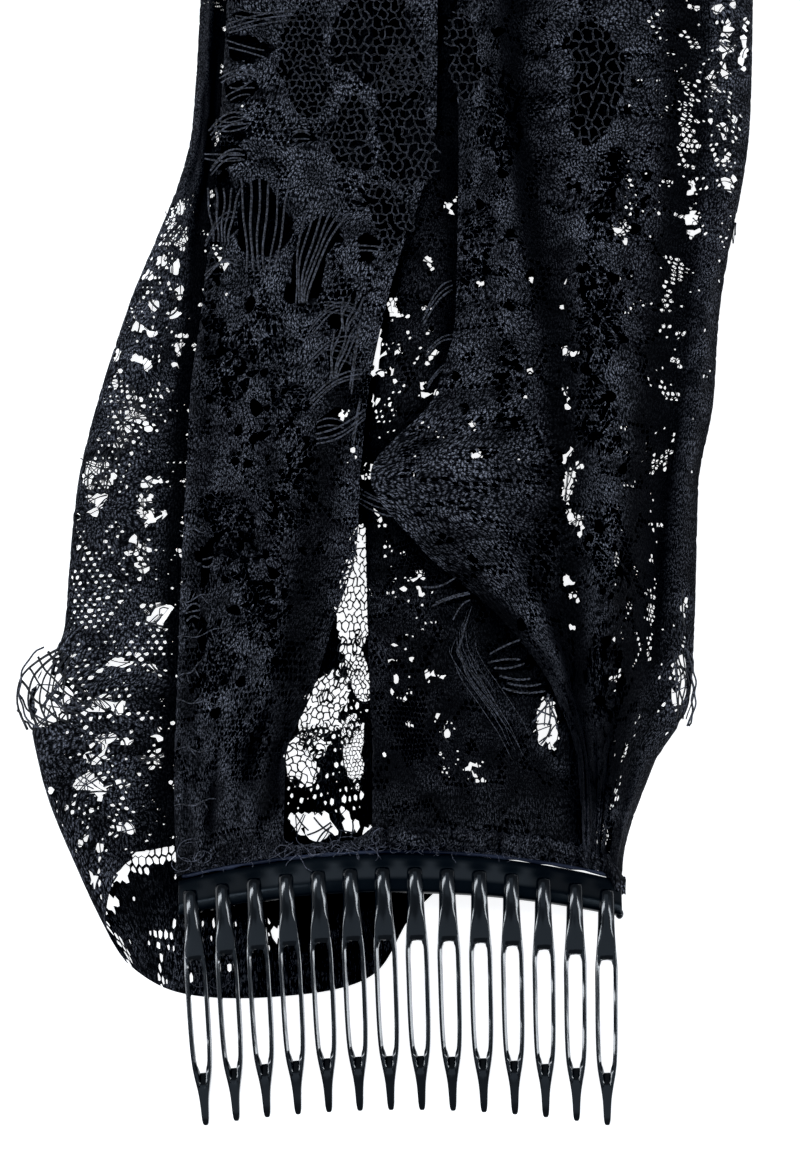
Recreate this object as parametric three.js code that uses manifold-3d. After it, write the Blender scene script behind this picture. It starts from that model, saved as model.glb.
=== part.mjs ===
// A black lace veil that is gathered and glued to a plastic hair comb, lying flat.
// Millimetres, +Z up. X runs along the comb and Y runs from the teeth to the veil's free end.
import * as THREE from 'three';
import { mergeVertices } from 'three/addons/utils/BufferGeometryUtils.js';
import Module from 'manifold-3d';

const wasm = await Module();
wasm.setup();

// Driving dimensions of the comb
const COMB_WIDTH = 80;
const TOOTH_COUNT = 14;
const SHOULDER_PITCH = 5.75;
const TIP_PITCH = 5.5;
const SHOULDER_SHIFT = -0.3;
const TIP_SHIFT = 1.2;
const SPINE_HEIGHT = 7;
const SPINE_THICKNESS = 2.2;
const SPINE_END = { y: -4.4, z: 4.6 };
const SPINE_RISE = { y: 2.8, z: 8 };
const SHOULDER_ABOVE_CENTRE = 1;
const SHOULDER_PROUD = 0.9;
const TIP_END = { y: -44.8, z: 0.55 };
const TIP_RISE = { y: 2, z: 4 };
const SLOT_WIDTH = 2;
const SLOT_FROM = 0.305;
const SLOT_TO = 0.775;
const SPINE_SEGMENTS = 12;

// Driving dimensions of the veil and of its gathered edge
const CLOTH = 1;
const LAYER_PITCH = 1.7;
const FREE_END = 190;
const SETTLED_AT = 40;
const FOLDS_OPEN = { from: 20, to: 56 };
const ROWS = 27;
const LEAD_SHARE = 0.3;
const HEADING_DEPTH = 5.4;
const HEADING_THICKNESS = 5.2;
const GLUE_DIAMETER = 0.9;
const PIECE_GAP = 0.3;
const WINDOW_SHARE = 0.33;

const LAYER_1 = CLOTH / 2;
const LAYER_2 = LAYER_1 + LAYER_PITCH;
const LAYER_3 = LAYER_2 + LAYER_PITCH;
const TOP_LAYER = LAYER_3 + LAYER_PITCH;

// The x of each visible fold and outline, at these distances along the veil
const STATIONS = [-20, 0, 20, 34, 48, 62, 76, 92, 110, 150, 190];
const FOLDS = {
  flapEdge: [-47.5, -57.7, -65.7, -68.2, -62.1, -61.4, -60.3, -57.1, -52.1, -40, -38.5],
  leftFold: [-40.5, -40.5, -41.2, -40.9, -40.7, -40.4, -39.9, -39.4, -37.5, -34.5, -33],
  leftRoll: [-20.8, -20.8, -21.4, -20.2, -15, -10.8, -8.2, -6, -2.7, 7, 7.4],
  pleatLeft: [-5, -5, -5, -5.6, -6, -6.4, -6.8, -5, -3, 1, 1],
  pleatRight: [35, 35, 35.4, 38, 39.5, 40, 40.5, 41, 41.5, 44, 45],
  centreRoll: [33, 33, 32.2, 28.2, 18.7, 3.6, -5.5, 6.5, 10.6, 11.2, 11],
  innerValley: [34.6, 34.6, 34.6, 32.8, 31.7, 31.2, 30.7, 30, 28.6, 24.5, 23.3],
  columnRight: [36.4, 36.4, 38.6, 41.7, 43.7, 44.3, 44.5, 45.1, 45.6, 48.3, 49.9],
  farLeft: [37.8, 37.8, 41.2, 45.1, 46.9, 48.2, 50, 52.6, 54.3, 57.9, 59.2],
  rightEdge: [40.2, 40.2, 45.9, 53.3, 54.5, 55.2, 55.9, 59, 60.6, 67.5, 69.3],
};

// The sheet's fold lines in order, from its free edge on the left panel to the one on the right panel.
// x is a mix of two folds plus a shift. level is the height of the layer and relief is added to it where
// the folds have opened. start is where the line begins, and lift is its height there above the comb's
// arch. A line that starts elsewhere has no lift and keeps its level. parts splits the span that follows.
const TURN = 1.2;
const HALF_12 = (LAYER_1 + LAYER_2) / 2;
const HALF_23 = (LAYER_2 + LAYER_3) / 2;
const LINES = [
  // name, from, to, mix, shift, level, relief, start, lift, parts
  ['left_roll_edge', 'leftRoll', 'leftRoll', 0, 0, TOP_LAYER, 0.4, 'heading', 1.9, 2],
  ['left_panel_inner', 'leftRoll', 'leftFold', 0.33, 0, TOP_LAYER, 1.9, 'heading', 2.3, 2],
  ['left_panel_outer', 'leftRoll', 'leftFold', 0.7, 0, TOP_LAYER, 1.2, 'heading', 2.1, 1],
  ['left_fold_top', 'leftFold', 'leftFold', 0, TURN, TOP_LAYER, 0.5, 'heading', 1.9, 1],
  ['left_fold', 'leftFold', 'leftFold', 0, 0, LAYER_3 + 1, 0, 'heading', 0.8, 1],
  ['left_fold_under', 'leftFold', 'leftFold', 0, TURN, LAYER_3, 0, 'heading', -0.3, 2],
  ['tuck_upper', 'leftRoll', 'leftFold', 0.3, -TURN, LAYER_3, 0, 'heading', 0.2, 1],
  ['tuck', 'leftRoll', 'leftFold', 0.3, 0, HALF_23, 0, 'heading', -0.7, 1],
  ['tuck_lower', 'leftRoll', 'leftFold', 0.3, -TURN, LAYER_2, 0, 'heading', -1.7, 2],
  ['flap_root', 'leftFold', 'leftFold', 0, -0.8, LAYER_2, 0, 6, 0, 1],
  ['flap_middle', 'flapEdge', 'leftFold', 0.45, 0, LAYER_2, 0.4, 2, 0, 1],
  ['flap_top', 'flapEdge', 'leftFold', 0, TURN, LAYER_2, 0, -7, 0, 1],
  ['flap_edge', 'flapEdge', 'leftFold', 0, 0, HALF_12, 0, -12, 0, 1],
  ['flap_under', 'flapEdge', 'leftFold', 0, TURN, LAYER_1, 0, -16, 0, 2],
  ['floor_left', 'leftFold', 'leftFold', 0, 0, LAYER_1, 0, -20.5, 0, 1],
  ['floor_middle', 'leftFold', 'pleatLeft', 0.5, 0, LAYER_1, 0, -21.5, 0, 2],
  ['floor_gap', 'pleatLeft', 'pleatLeft', 0, 0, LAYER_1, 0, -17.5, 0, 1],
  ['floor_gap_right', 'pleatLeft', 'pleatRight', 0.2, 0, LAYER_1, 0, -5.5, 0, 1],
  ['floor_pleat', 'pleatLeft', 'pleatRight', 0.55, 0, LAYER_1, 0, 'heading', -2.5, 1],
  ['pleat_right_low', 'pleatRight', 'pleatRight', 0, -TURN, LAYER_1, 0, 'heading', -2.5, 1],
  ['pleat_right', 'pleatRight', 'pleatRight', 0, 0, HALF_12, 0, 'heading', -1.7, 1],
  ['pleat_right_high', 'pleatRight', 'pleatRight', 0, -TURN, LAYER_2, 0, 'heading', -0.9, 1],
  ['pleat_middle', 'pleatLeft', 'pleatRight', 0.55, 0, LAYER_2, 0, 'heading', -0.9, 1],
  ['pleat_left_low', 'pleatLeft', 'pleatLeft', 0, TURN, LAYER_2, 0, 'heading', -0.9, 1],
  ['pleat_left', 'pleatLeft', 'pleatLeft', 0, 0, HALF_23, 0, 'heading', -0.1, 1],
  ['pleat_left_high', 'pleatLeft', 'pleatLeft', 0, TURN, LAYER_3, 0, 'heading', 0.7, 2],
  ['pleat_top', 'pleatLeft', 'pleatRight', 0.55, 0, LAYER_3, 0.2, 'heading', 0.7, 2],
  ['pleat_top_right', 'pleatRight', 'pleatRight', 0, 0, LAYER_3, 0, 'heading', 0.7, 1],
  ['floor_right', 'pleatRight', 'rightEdge', 0.45, 0, LAYER_1, 0, 'heading', -0.8, 1],
  ['right_fold_under', 'rightEdge', 'rightEdge', 0, -0.9, LAYER_1, 0, 'heading', -0.6, 1],
  ['right_fold', 'rightEdge', 'rightEdge', 0, 0, LAYER_1 + 1, 0, 'heading', 0.6, 1],
  ['right_fold_top', 'rightEdge', 'rightEdge', 0, -0.9, LAYER_1 + 2.1, 0, 'heading', 2.1, 1],
  ['far_right_panel', 'rightEdge', 'farLeft', 0.55, 0, LAYER_3, 0.6, 'heading', 2.4, 1],
  ['far_right_valley', 'farLeft', 'farLeft', 0, 0, LAYER_3 + 1, -2.2, 'heading', 2.4, 1],
  ['column_side', 'columnRight', 'columnRight', 0, -0.6, TOP_LAYER, 1, 'heading', 2.4, 1],
  ['column', 'columnRight', 'innerValley', 0.5, 0, TOP_LAYER, 3.2, 'heading', 2.6, 1],
  ['inner_valley', 'innerValley', 'innerValley', 0, 0, TOP_LAYER, 0.1, 'heading', 2.4, 1],
  ['ridge', 'innerValley', 'centreRoll', 0.5, 0, TOP_LAYER, 3.4, 'heading', 2.5, 2],
  ['centre_roll', 'centreRoll', 'centreRoll', 0, 0, TOP_LAYER, 0.3, 'heading', 2.3, 1],
];

// Where the open net is cut through, in steps of columns and rows of the sheet
const NET_AREAS = [
  // first line, last line, from y, to y, column step, row step
  ['flap_root', 'flap_edge', 12, 140, 1, 2],
  ['flap_under', 'floor_left', -12, 120, 1, 2],
  ['floor_middle', 'floor_gap', -12, 66, 1, 2],
  ['left_roll_edge', 'left_panel_outer', 100, 180, 2, 2],
  ['pleat_right_high', 'pleat_left_low', 30, 170, 1, 3],
  ['pleat_left_high', 'pleat_top_right', 40, 170, 2, 3],
  ['floor_right', 'right_fold_under', 30, 180, 1, 3],
  ['far_right_panel', 'far_right_valley', 45, 180, 1, 2],
  ['inner_valley', 'ridge', 60, 180, 1, 3],
];

const PLASTIC = new THREE.MeshStandardMaterial({ color: 0x14171d, roughness: 0.25, metalness: 0 });
const LACE = new THREE.MeshStandardMaterial({ color: 0x16171f, roughness: 0.85, metalness: 0 });
const GLUE = new THREE.MeshStandardMaterial({ color: 0x2c333f, roughness: 0.2, metalness: 0 });

// Heights along a bow that is highest in the middle
const bow = (x, half) => 1 - (x / half) ** 2;
const archY = (x) => SPINE_END.y + SPINE_RISE.y * bow(x, COMB_WIDTH / 2);
const archZ = (x) => SPINE_END.z + SPINE_RISE.z * bow(x, COMB_WIDTH / 2);
const spineBackY = (x) => archY(x) + SPINE_HEIGHT / 2;
const headingFrontY = (x) => spineBackY(x) + 2 * PIECE_GAP + GLUE_DIAMETER;
const headingBackY = (x) => headingFrontY(x) + HEADING_DEPTH;

// Values at stations, read off with a smooth curve that never overshoots them
function along(stations, values, place) {
  const last = stations.length - 1;
  const clamped = Math.min(Math.max(place, stations[0]), stations[last]);
  let i = 0;
  while (i < last - 1 && clamped > stations[i + 1]) {
    i += 1;
  }
  const slope = (k) => (values[k + 1] - values[k]) / (stations[k + 1] - stations[k]);
  const tangent = (k) => {
    if (k === 0 || k === last) {
      return slope(Math.min(k, last - 1));
    }
    const before = slope(k - 1);
    const after = slope(k);
    return before * after <= 0 ? 0 : (2 * before * after) / (before + after);
  };
  const width = stations[i + 1] - stations[i];
  const t = (clamped - stations[i]) / width;
  const rise = values[i + 1] - values[i];
  const a = tangent(i) * width;
  const b = tangent(i + 1) * width;
  return values[i] + a * t + (3 * rise - 2 * a - b) * t * t + (a + b - 2 * rise) * t * t * t;
}

// A closed body through rings of points that all have the same count, with a fan on each end
function loft(rings) {
  const sides = rings[0].length;
  const points = rings.flat();
  const index = [];
  for (let r = 0; r < rings.length - 1; r += 1) {
    for (let s = 0; s < sides; s += 1) {
      const a = r * sides + s;
      const b = r * sides + ((s + 1) % sides);
      index.push(a, b, b + sides, a, b + sides, a + sides);
    }
  }
  const end = (rings.length - 1) * sides;
  for (let s = 1; s < sides - 1; s += 1) {
    index.push(0, s + 1, s, end, end + s, end + s + 1);
  }
  return facingOut(new THREE.BufferGeometry().setFromPoints(points).setIndex(index));
}

// Turns a closed body's faces outwards
function facingOut(geometry) {
  const p = geometry.getAttribute('position');
  const index = geometry.getIndex().array;
  const corner = (k) => new THREE.Vector3().fromBufferAttribute(p, index[k]);
  let volume = 0;
  for (let k = 0; k < index.length; k += 3) {
    volume += corner(k).dot(corner(k + 1).cross(corner(k + 2)));
  }
  if (volume < 0) {
    index.reverse();
  }
  return geometry;
}

// A flat-sided oval of points across a direction of travel
function ovalRing(centre, halfWidth, halfHeight, sides, travel) {
  const ring = [];
  for (let s = 0; s < sides; s += 1) {
    const angle = (2 * Math.PI * (s + 0.5)) / sides;
    const across = halfWidth * Math.cos(angle);
    const up = halfHeight * Math.sin(angle);
    const offset = travel === 'y' ? new THREE.Vector3(across, 0, up) : new THREE.Vector3(0, across, up);
    ring.push(centre.clone().add(offset));
  }
  return ring;
}

// Between three.js geometry and a solid that can be joined and cut
function toSolid(geometry) {
  const bare = geometry.clone();
  for (const name of ['normal', 'uv']) {
    bare.deleteAttribute(name);
  }
  const merged = mergeVertices(bare, 1e-5);
  const mesh = new wasm.Mesh({
    numProp: 3,
    vertProperties: new Float32Array(merged.getAttribute('position').array),
    triVerts: new Uint32Array(merged.getIndex().array),
  });
  return new wasm.Manifold(mesh);
}

function toGeometry(solid) {
  const mesh = solid.getMesh();
  const geometry = new THREE.BufferGeometry();
  geometry.setAttribute('position', new THREE.BufferAttribute(mesh.vertProperties, 3));
  geometry.setIndex(new THREE.BufferAttribute(mesh.triVerts, 1));
  return geometry;
}

// The spine: a strip with chamfered edges, swept along the arch, a little lower at its ends
function spineStrip() {
  const rings = [];
  for (let k = 0; k <= SPINE_SEGMENTS; k += 1) {
    const x = COMB_WIDTH * (k / SPINE_SEGMENTS - 0.5);
    const taper = 0.9 + 0.1 * bow(x, COMB_WIDTH / 2);
    const halfHeight = (SPINE_HEIGHT / 2) * taper;
    const half = SPINE_THICKNESS / 2;
    const chamfer = 0.5;
    const outline = [
      [-halfHeight, -half + chamfer], [-halfHeight + chamfer, -half],
      [halfHeight - chamfer, -half], [halfHeight, -half + chamfer],
      [halfHeight, half - chamfer], [halfHeight - chamfer, half],
      [-halfHeight + chamfer, half], [-halfHeight, half - chamfer],
    ];
    rings.push(outline.map(([y, z]) => new THREE.Vector3(x, archY(x) + y, archZ(x) + z)));
  }
  return loft(rings);
}

// One tooth, from its rounded shoulder on the spine's face to its tip, and its slot
const TOOTH_SECTIONS = [
  // share of length, half width, half thickness, lift off the straight line
  [0, 0.9, 0.6, -0.5],
  [0.03, 1.3, 1.05, 0],
  [0.22, 1.6, 1.0, 0.1],
  [0.4, 2.1, 0.95, 0],
  [0.74, 1.95, 0.85, 0],
  [0.87, 0.98, 0.7, 0],
  [0.96, 0.66, 0.52, 0],
  [1, 0.38, 0.3, 0],
];
const TOOTH_SIDES = 8;

function toothLine(number) {
  const across = number - (TOOTH_COUNT - 1) / 2;
  const rootX = across * SHOULDER_PITCH + SHOULDER_SHIFT;
  const tipX = across * TIP_PITCH + TIP_SHIFT;
  const rootZ = archZ(rootX) + SHOULDER_PROUD;
  const root = new THREE.Vector3(rootX, archY(rootX) + SHOULDER_ABOVE_CENTRE, rootZ);
  const end = bow(across, (TOOTH_COUNT - 1) / 2);
  const tip = new THREE.Vector3(tipX, TIP_END.y + TIP_RISE.y * end, TIP_END.z + TIP_RISE.z * end);
  return { root, tip };
}

function tooth(number) {
  const { root, tip } = toothLine(number);
  const rings = TOOTH_SECTIONS.map(([share, halfWidth, halfThickness, lift]) => {
    const centre = root.clone().lerp(tip, share);
    centre.z += lift;
    return ovalRing(centre, halfWidth, halfThickness, TOOTH_SIDES, 'y');
  });
  const body = toSolid(loft(rings));
  const slotLength = root.distanceTo(tip) * (SLOT_TO - SLOT_FROM);
  const radius = SLOT_WIDTH / 2;
  const straight = slotLength / 2 - radius;
  const outline = new THREE.Shape();
  outline.absarc(0, straight, radius, 0, Math.PI);
  outline.absarc(0, -straight, radius, Math.PI, 2 * Math.PI);
  const depth = 6;
  const cutter = new THREE.ExtrudeGeometry(outline, { depth, bevelEnabled: false, curveSegments: 2 });
  cutter.translate(0, 0, -depth / 2);
  cutter.rotateZ(Math.atan2(tip.x - root.x, root.y - tip.y));
  cutter.rotateX(Math.atan2(root.z - tip.z, root.y - tip.y));
  const middle = root.clone().lerp(tip, (SLOT_FROM + SLOT_TO) / 2);
  cutter.translate(middle.x, middle.y, middle.z);
  return body.subtract(toSolid(cutter));
}

function comb() {
  let body = toSolid(spineStrip());
  for (let number = 0; number < TOOTH_COUNT; number += 1) {
    body = body.add(tooth(number));
  }
  return toGeometry(body);
}

// The gathered edge: a lumpy roll on the back of the spine, thin where the centre gap shows the glue
function gatheredHeading() {
  const segments = 28;
  const sides = 8;
  const half = COMB_WIDTH / 2 + 0.4;
  const gap = { from: -21, to: -6, share: 0.45 };
  const rings = [];
  for (let k = 0; k <= segments; k += 1) {
    const x = -half + (2 * half * k) / segments;
    const middle = (gap.from + gap.to) / 2;
    const inGap = THREE.MathUtils.smoothstep(Math.abs(x - middle), 5, 9);
    const end = Math.min(1, 0.55 + (half - Math.abs(x)) / 6);
    const gather = 1 + 0.1 * Math.sin(k * 2.1) + 0.06 * Math.sin(k * 3.7 + 1);
    const share = THREE.MathUtils.lerp(gap.share, Math.min(gather, 1.12), inGap) * end;
    const halfDepth = (HEADING_DEPTH / 2.3) * Math.min(share, 1.1);
    const halfThickness = (HEADING_THICKNESS / 2.3) * share;
    const centre = new THREE.Vector3(x, headingFrontY(x) + halfDepth, archZ(x));
    rings.push(ovalRing(centre, halfDepth, halfThickness, sides, 'x'));
  }
  return loft(rings);
}

// The glue: a thin bead along the spine's back edge
function glueLine() {
  const segments = 16;
  const sides = 6;
  const half = COMB_WIDTH / 2 - 0.5;
  const rings = [];
  for (let k = 0; k <= segments; k += 1) {
    const x = -half + (2 * half * k) / segments;
    const centre = new THREE.Vector3(x, spineBackY(x) + PIECE_GAP + GLUE_DIAMETER / 2, archZ(x) + 0.3);
    rings.push(ovalRing(centre, GLUE_DIAMETER / 2, GLUE_DIAMETER / 2, sides, 'x'));
  }
  return loft(rings);
}

// The point of one fold line at a share of the way from its start to the free end
function linePoint(line, share) {
  const [, from, to, mix, shift, level, relief, start, lift] = line;
  const foldX = (y) => {
    const a = along(STATIONS, FOLDS[from], y);
    const b = along(STATIONS, FOLDS[to], y);
    return a + (b - a) * mix + shift;
  };
  const startX = foldX(7);
  const commonStart = 7;
  const startY = start === 'heading' ? headingBackY(startX) + PIECE_GAP : start;
  const lead = Math.max(0, 1 - share / LEAD_SHARE) ** 2;
  const y = commonStart + (FREE_END - commonStart) * share + (startY - commonStart) * lead;
  const startZ = start === 'heading' ? archZ(startX) + lift : level;
  const settled = THREE.MathUtils.smoothstep(y, commonStart - 1, SETTLED_AT);
  const open = THREE.MathUtils.smoothstep(y, FOLDS_OPEN.from, FOLDS_OPEN.to);
  return new THREE.Vector3(foldX(y), y, THREE.MathUtils.lerp(startZ, level, settled) + relief * open);
}

// The middle surface of the sheet, as rows of points across all the folds
function sheetRows() {
  const rows = [];
  for (let r = 0; r < ROWS; r += 1) {
    const share = r / (ROWS - 1);
    const places = LINES.map((line) => linePoint(line, share));
    const curve = new THREE.CatmullRomCurve3(places, false, 'centripetal');
    const row = [];
    LINES.slice(0, -1).forEach((line, span) => {
      const parts = line[line.length - 1];
      for (let part = 0; part < parts; part += 1) {
        row.push(curve.getPoint((span + part / parts) / (LINES.length - 1)));
      }
    });
    row.push(curve.getPoint(1));
    row.forEach((point) => point.setZ(Math.max(point.z, LAYER_1)));
    rows.push(row);
  }
  return rows;
}

// Columns of the sheet where each fold line lies
function lineColumns() {
  const columns = {};
  let column = 0;
  for (const line of LINES) {
    columns[line[0]] = column;
    column += line[line.length - 1];
  }
  return columns;
}

// Cells of the sheet that are open net, as a set of row and column keys
function netCells(rows) {
  const columns = lineColumns();
  const cells = new Set();
  for (const [first, last, fromY, toY, columnStep, rowStep] of NET_AREAS) {
    for (let c = columns[first]; c < columns[last]; c += columnStep) {
      for (let r = 1 + (c % 2); r < ROWS - 2; r += rowStep) {
        const y = rows[r][c].y;
        if (y >= fromY && y <= toY) {
          cells.add(`${r},${c}`);
        }
      }
    }
  }
  return cells;
}

// The cloth: a wall of even thickness round the middle surface, with the net cut through
function veilCloth() {
  const middle = sheetRows();
  const width = middle[0].length;
  const normalAt = (r, c) => {
    const before = middle[r][Math.max(c - 1, 0)];
    const after = middle[r][Math.min(c + 1, width - 1)];
    const lower = middle[Math.max(r - 1, 0)][c];
    const upper = middle[Math.min(r + 1, ROWS - 1)][c];
    return after.clone().sub(before).cross(upper.clone().sub(lower)).normalize();
  };
  const faces = [1, -1].map((side) => middle.map((row, r) => row.map((point, c) => (
    point.clone().addScaledVector(normalAt(r, c), (side * CLOTH) / 2)
  ))));
  const points = faces.flat(2);
  const key = (face, r, c) => face * ROWS * width + r * width + c;
  const index = [];
  const quad = (a, b, c, d) => index.push(a, b, c, a, c, d);
  const cells = netCells(middle);

  // The higher diagonal splits a cell, so that neighbouring layers bend alike
  const diagonalStart = (r, c) => {
    const first = middle[r][c].z + middle[r + 1][c + 1].z;
    const second = middle[r][c + 1].z + middle[r + 1][c].z;
    return first >= second ? 0 : 1;
  };

  // A window's diamond corners stand between the cell's middle and the middles of its sides
  const diamond = (face, r, c) => {
    const grid = faces[face];
    const corners = [grid[r][c], grid[r][c + 1], grid[r + 1][c + 1], grid[r + 1][c]];
    const centre = corners.reduce((sum, p) => sum.add(p), new THREE.Vector3()).multiplyScalar(0.25);
    return corners.map((p, k) => {
      const side = p.clone().add(corners[(k + 1) % 4]).multiplyScalar(0.5);
      points.push(centre.clone().lerp(side, 2 * WINDOW_SHARE));
      return points.length - 1;
    });
  };

  for (let r = 0; r < ROWS - 1; r += 1) {
    for (let c = 0; c < width - 1; c += 1) {
      const cell = [[r, c], [r, c + 1], [r + 1, c + 1], [r + 1, c]];
      const [top, bottom] = [0, 1].map((face) => cell.map(([row, column]) => key(face, row, column)));
      if (cells.has(`${r},${c}`)) {
        const [inTop, inBottom] = [diamond(0, r, c), diamond(1, r, c)];
        for (let k = 0; k < 4; k += 1) {
          const next = (k + 1) % 4;
          const before = (k + 3) % 4;
          index.push(top[k], top[next], inTop[k], top[k], inTop[k], inTop[before]);
          index.push(bottom[next], bottom[k], inBottom[k], inBottom[k], bottom[k], inBottom[before]);
          quad(inTop[k], inTop[next], inBottom[next], inBottom[k]);
        }
      } else {
        const k = diagonalStart(r, c);
        quad(top[k], top[k + 1], top[k + 2], top[(k + 3) % 4]);
        quad(bottom[k], bottom[(k + 3) % 4], bottom[k + 2], bottom[k + 1]);
      }
    }
  }
  for (let c = 0; c < width - 1; c += 1) {
    quad(key(1, 0, c), key(1, 0, c + 1), key(0, 0, c + 1), key(0, 0, c));
    quad(key(0, ROWS - 1, c), key(0, ROWS - 1, c + 1), key(1, ROWS - 1, c + 1), key(1, ROWS - 1, c));
  }
  for (let r = 0; r < ROWS - 1; r += 1) {
    quad(key(0, r, 0), key(0, r + 1, 0), key(1, r + 1, 0), key(1, r, 0));
    quad(key(1, r, width - 1), key(1, r + 1, width - 1), key(0, r + 1, width - 1), key(0, r, width - 1));
  }
  return facingOut(new THREE.BufferGeometry().setFromPoints(points).setIndex(index));
}

function namedMesh(name, geometry, material) {
  const mesh = new THREE.Mesh(geometry, material);
  mesh.name = name;
  return mesh;
}

const group = new THREE.Group();
group.add(
  namedMesh('comb', comb(), PLASTIC),
  namedMesh('glue_line', glueLine(), GLUE),
  namedMesh('gathered_heading', gatheredHeading(), LACE),
  namedMesh('lace_veil', veilCloth(), LACE),
);

// The origin is under the middle of the whole object
const box = new THREE.Box3().setFromObject(group);
const centre = box.getCenter(new THREE.Vector3());
group.position.set(-centre.x, -centre.y, -box.min.z);

export default group;
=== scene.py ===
"""A black lace veil, gathered and glued to a plastic hair comb, lying on a pale table.

Tables hold millimetres in the comb's own layout: x runs along the comb, y from the teeth to the veil's
free end, and z up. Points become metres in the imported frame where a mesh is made.
"""
import logging
import math
from collections.abc import Callable
from dataclasses import dataclass, field
from enum import Enum

import bmesh
import bpy
import numpy as np
from mathutils import Matrix, Vector
from mathutils.kdtree import KDTree

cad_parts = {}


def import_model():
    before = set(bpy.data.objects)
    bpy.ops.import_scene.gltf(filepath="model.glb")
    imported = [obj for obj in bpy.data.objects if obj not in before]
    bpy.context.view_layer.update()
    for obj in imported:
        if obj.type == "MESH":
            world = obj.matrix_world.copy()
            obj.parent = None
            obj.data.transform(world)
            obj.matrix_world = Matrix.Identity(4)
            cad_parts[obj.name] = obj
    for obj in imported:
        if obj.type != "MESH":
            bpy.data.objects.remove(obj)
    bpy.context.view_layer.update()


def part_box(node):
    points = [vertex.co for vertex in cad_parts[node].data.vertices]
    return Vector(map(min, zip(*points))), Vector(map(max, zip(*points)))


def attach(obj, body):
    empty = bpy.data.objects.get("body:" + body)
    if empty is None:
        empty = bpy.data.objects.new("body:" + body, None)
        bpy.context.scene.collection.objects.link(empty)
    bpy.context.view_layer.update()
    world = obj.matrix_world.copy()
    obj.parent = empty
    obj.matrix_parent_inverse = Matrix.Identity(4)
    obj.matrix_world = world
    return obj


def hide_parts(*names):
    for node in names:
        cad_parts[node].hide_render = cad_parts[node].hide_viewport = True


LOG = logging.getLogger("veil")
MM = 0.001
BODY = "root"

# The length of flat lace that the UV square spans, in millimetres
UV_SPAN = 400.0

# The comb's own sizes, as in the solids
COMB_WIDTH = 80.0
SPINE_HEIGHT = 7.0
SPINE_THICKNESS = 2.2
SPINE_END_Y = -4.4
SPINE_END_Z = 4.6
SPINE_RISE_Y = 2.8
SPINE_RISE_Z = 8.0

# The sheet's own sizes, as in the solids
LAYER_1 = 0.5
LAYER_PITCH = 1.7
LAYER_2 = LAYER_1 + LAYER_PITCH
LAYER_3 = LAYER_2 + LAYER_PITCH
TOP_LAYER = LAYER_3 + LAYER_PITCH
HALF_12 = (LAYER_1 + LAYER_2) / 2
HALF_23 = (LAYER_2 + LAYER_3) / 2
COMMON_START = 7.0
FREE_END = 190.0
SETTLED_AT = 40.0
FOLDS_OPEN = (20.0, 56.0)
LEAD_SHARE = 0.3
TURN = 1.2
TUCK_SHARE = 0.3

# Painted shade along the deep creases (strength above 0) and painted light along the ridges (below 0): the
# lines that end their stretch of the sheet, then strength, half width, and the x and y of the places they
# pass
CREASE_SHADE = [
    ("far_right_valley", "centre_roll", 0.92, 2.7,
     [(20.2, 190), (20.6, 160), (22.6, 143), (25.6, 120), (28, 105), (29.6, 90),
      (30.6, 70), (31.2, 50), (32.4, 30), (34, 12)]),
    ("right_fold", "inner_valley", 0.95, 4.4,
     [(54.5, 190), (53.6, 150), (52, 126), (50, 105), (48.4, 92), (45.6, 72),
      (43, 52), (40.8, 33), (37.6, 14)]),
    ("left_roll_edge", "left_fold", 0.9, 4.2,
     [(-9, 96), (-13, 80), (-16.4, 66), (-17.6, 50), (-18.8, 33), (-22.6, 10)]),
    ("left_roll_edge", "left_fold", 0.62, 2.2,
     [(-34, 190), (-33, 150), (-35.5, 110), (-36.8, 75), (-37.4, 52), (-38.4, 28)]),
    ("inner_valley", "centre_roll", 0.55, 1.5, [(16.4, 190), (17, 140), (17.4, 100), (19, 80)]),
    ("pleat_left", "pleat_top_right", -0.75, 1.7, [(11.6, 44), (15, 38), (19, 31), (24, 25), (28.4, 20)]),
    ("pleat_left", "pleat_top_right", -0.45, 2.4, [(1, 24), (4, 17), (9, 12)]),
    ("pleat_left", "pleat_top_right", -0.45, 2.0, [(13, 14), (19, 18), (24, 13)]),
]

# Depths below the surroundings at which the lace starts to darken and is fully dark
NEAR_SHADE = (0.3, 2.2)
WIDE_SHADE = (1.2, 4.2)

# The threads that are seen against the bright table
SHADED_THREADS = ("lace_nets", "lace_crossings")

# Pools of shade on the top of the pleat: middle x and y, half width and half height
POOLS = (
    (4.8, 40.6, 5.6, 7.4), (17.8, 43, 4.4, 5.0), (-2.2, 19.6, 5.4, 6.0), (16.8, 20.8, 2.6, 3.0),
    (21.6, 15.6, 2.4, 2.8), (1.4, 16.4, 2.2, 3.2), (9, 63, 4.4, 5.4), (7.4, 98, 2.6, 5.0),
    (9, 110, 2.4, 5.4), (9.6, 31.4, 3.6, 3.0), (0.4, 28.6, 2.4, 4.0), (6.4, 12.4, 3.4, 1.8),
    (-5.4, 66, 2.0, 5.0), (3.4, 70, 3.0, 2.6),
)

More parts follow.
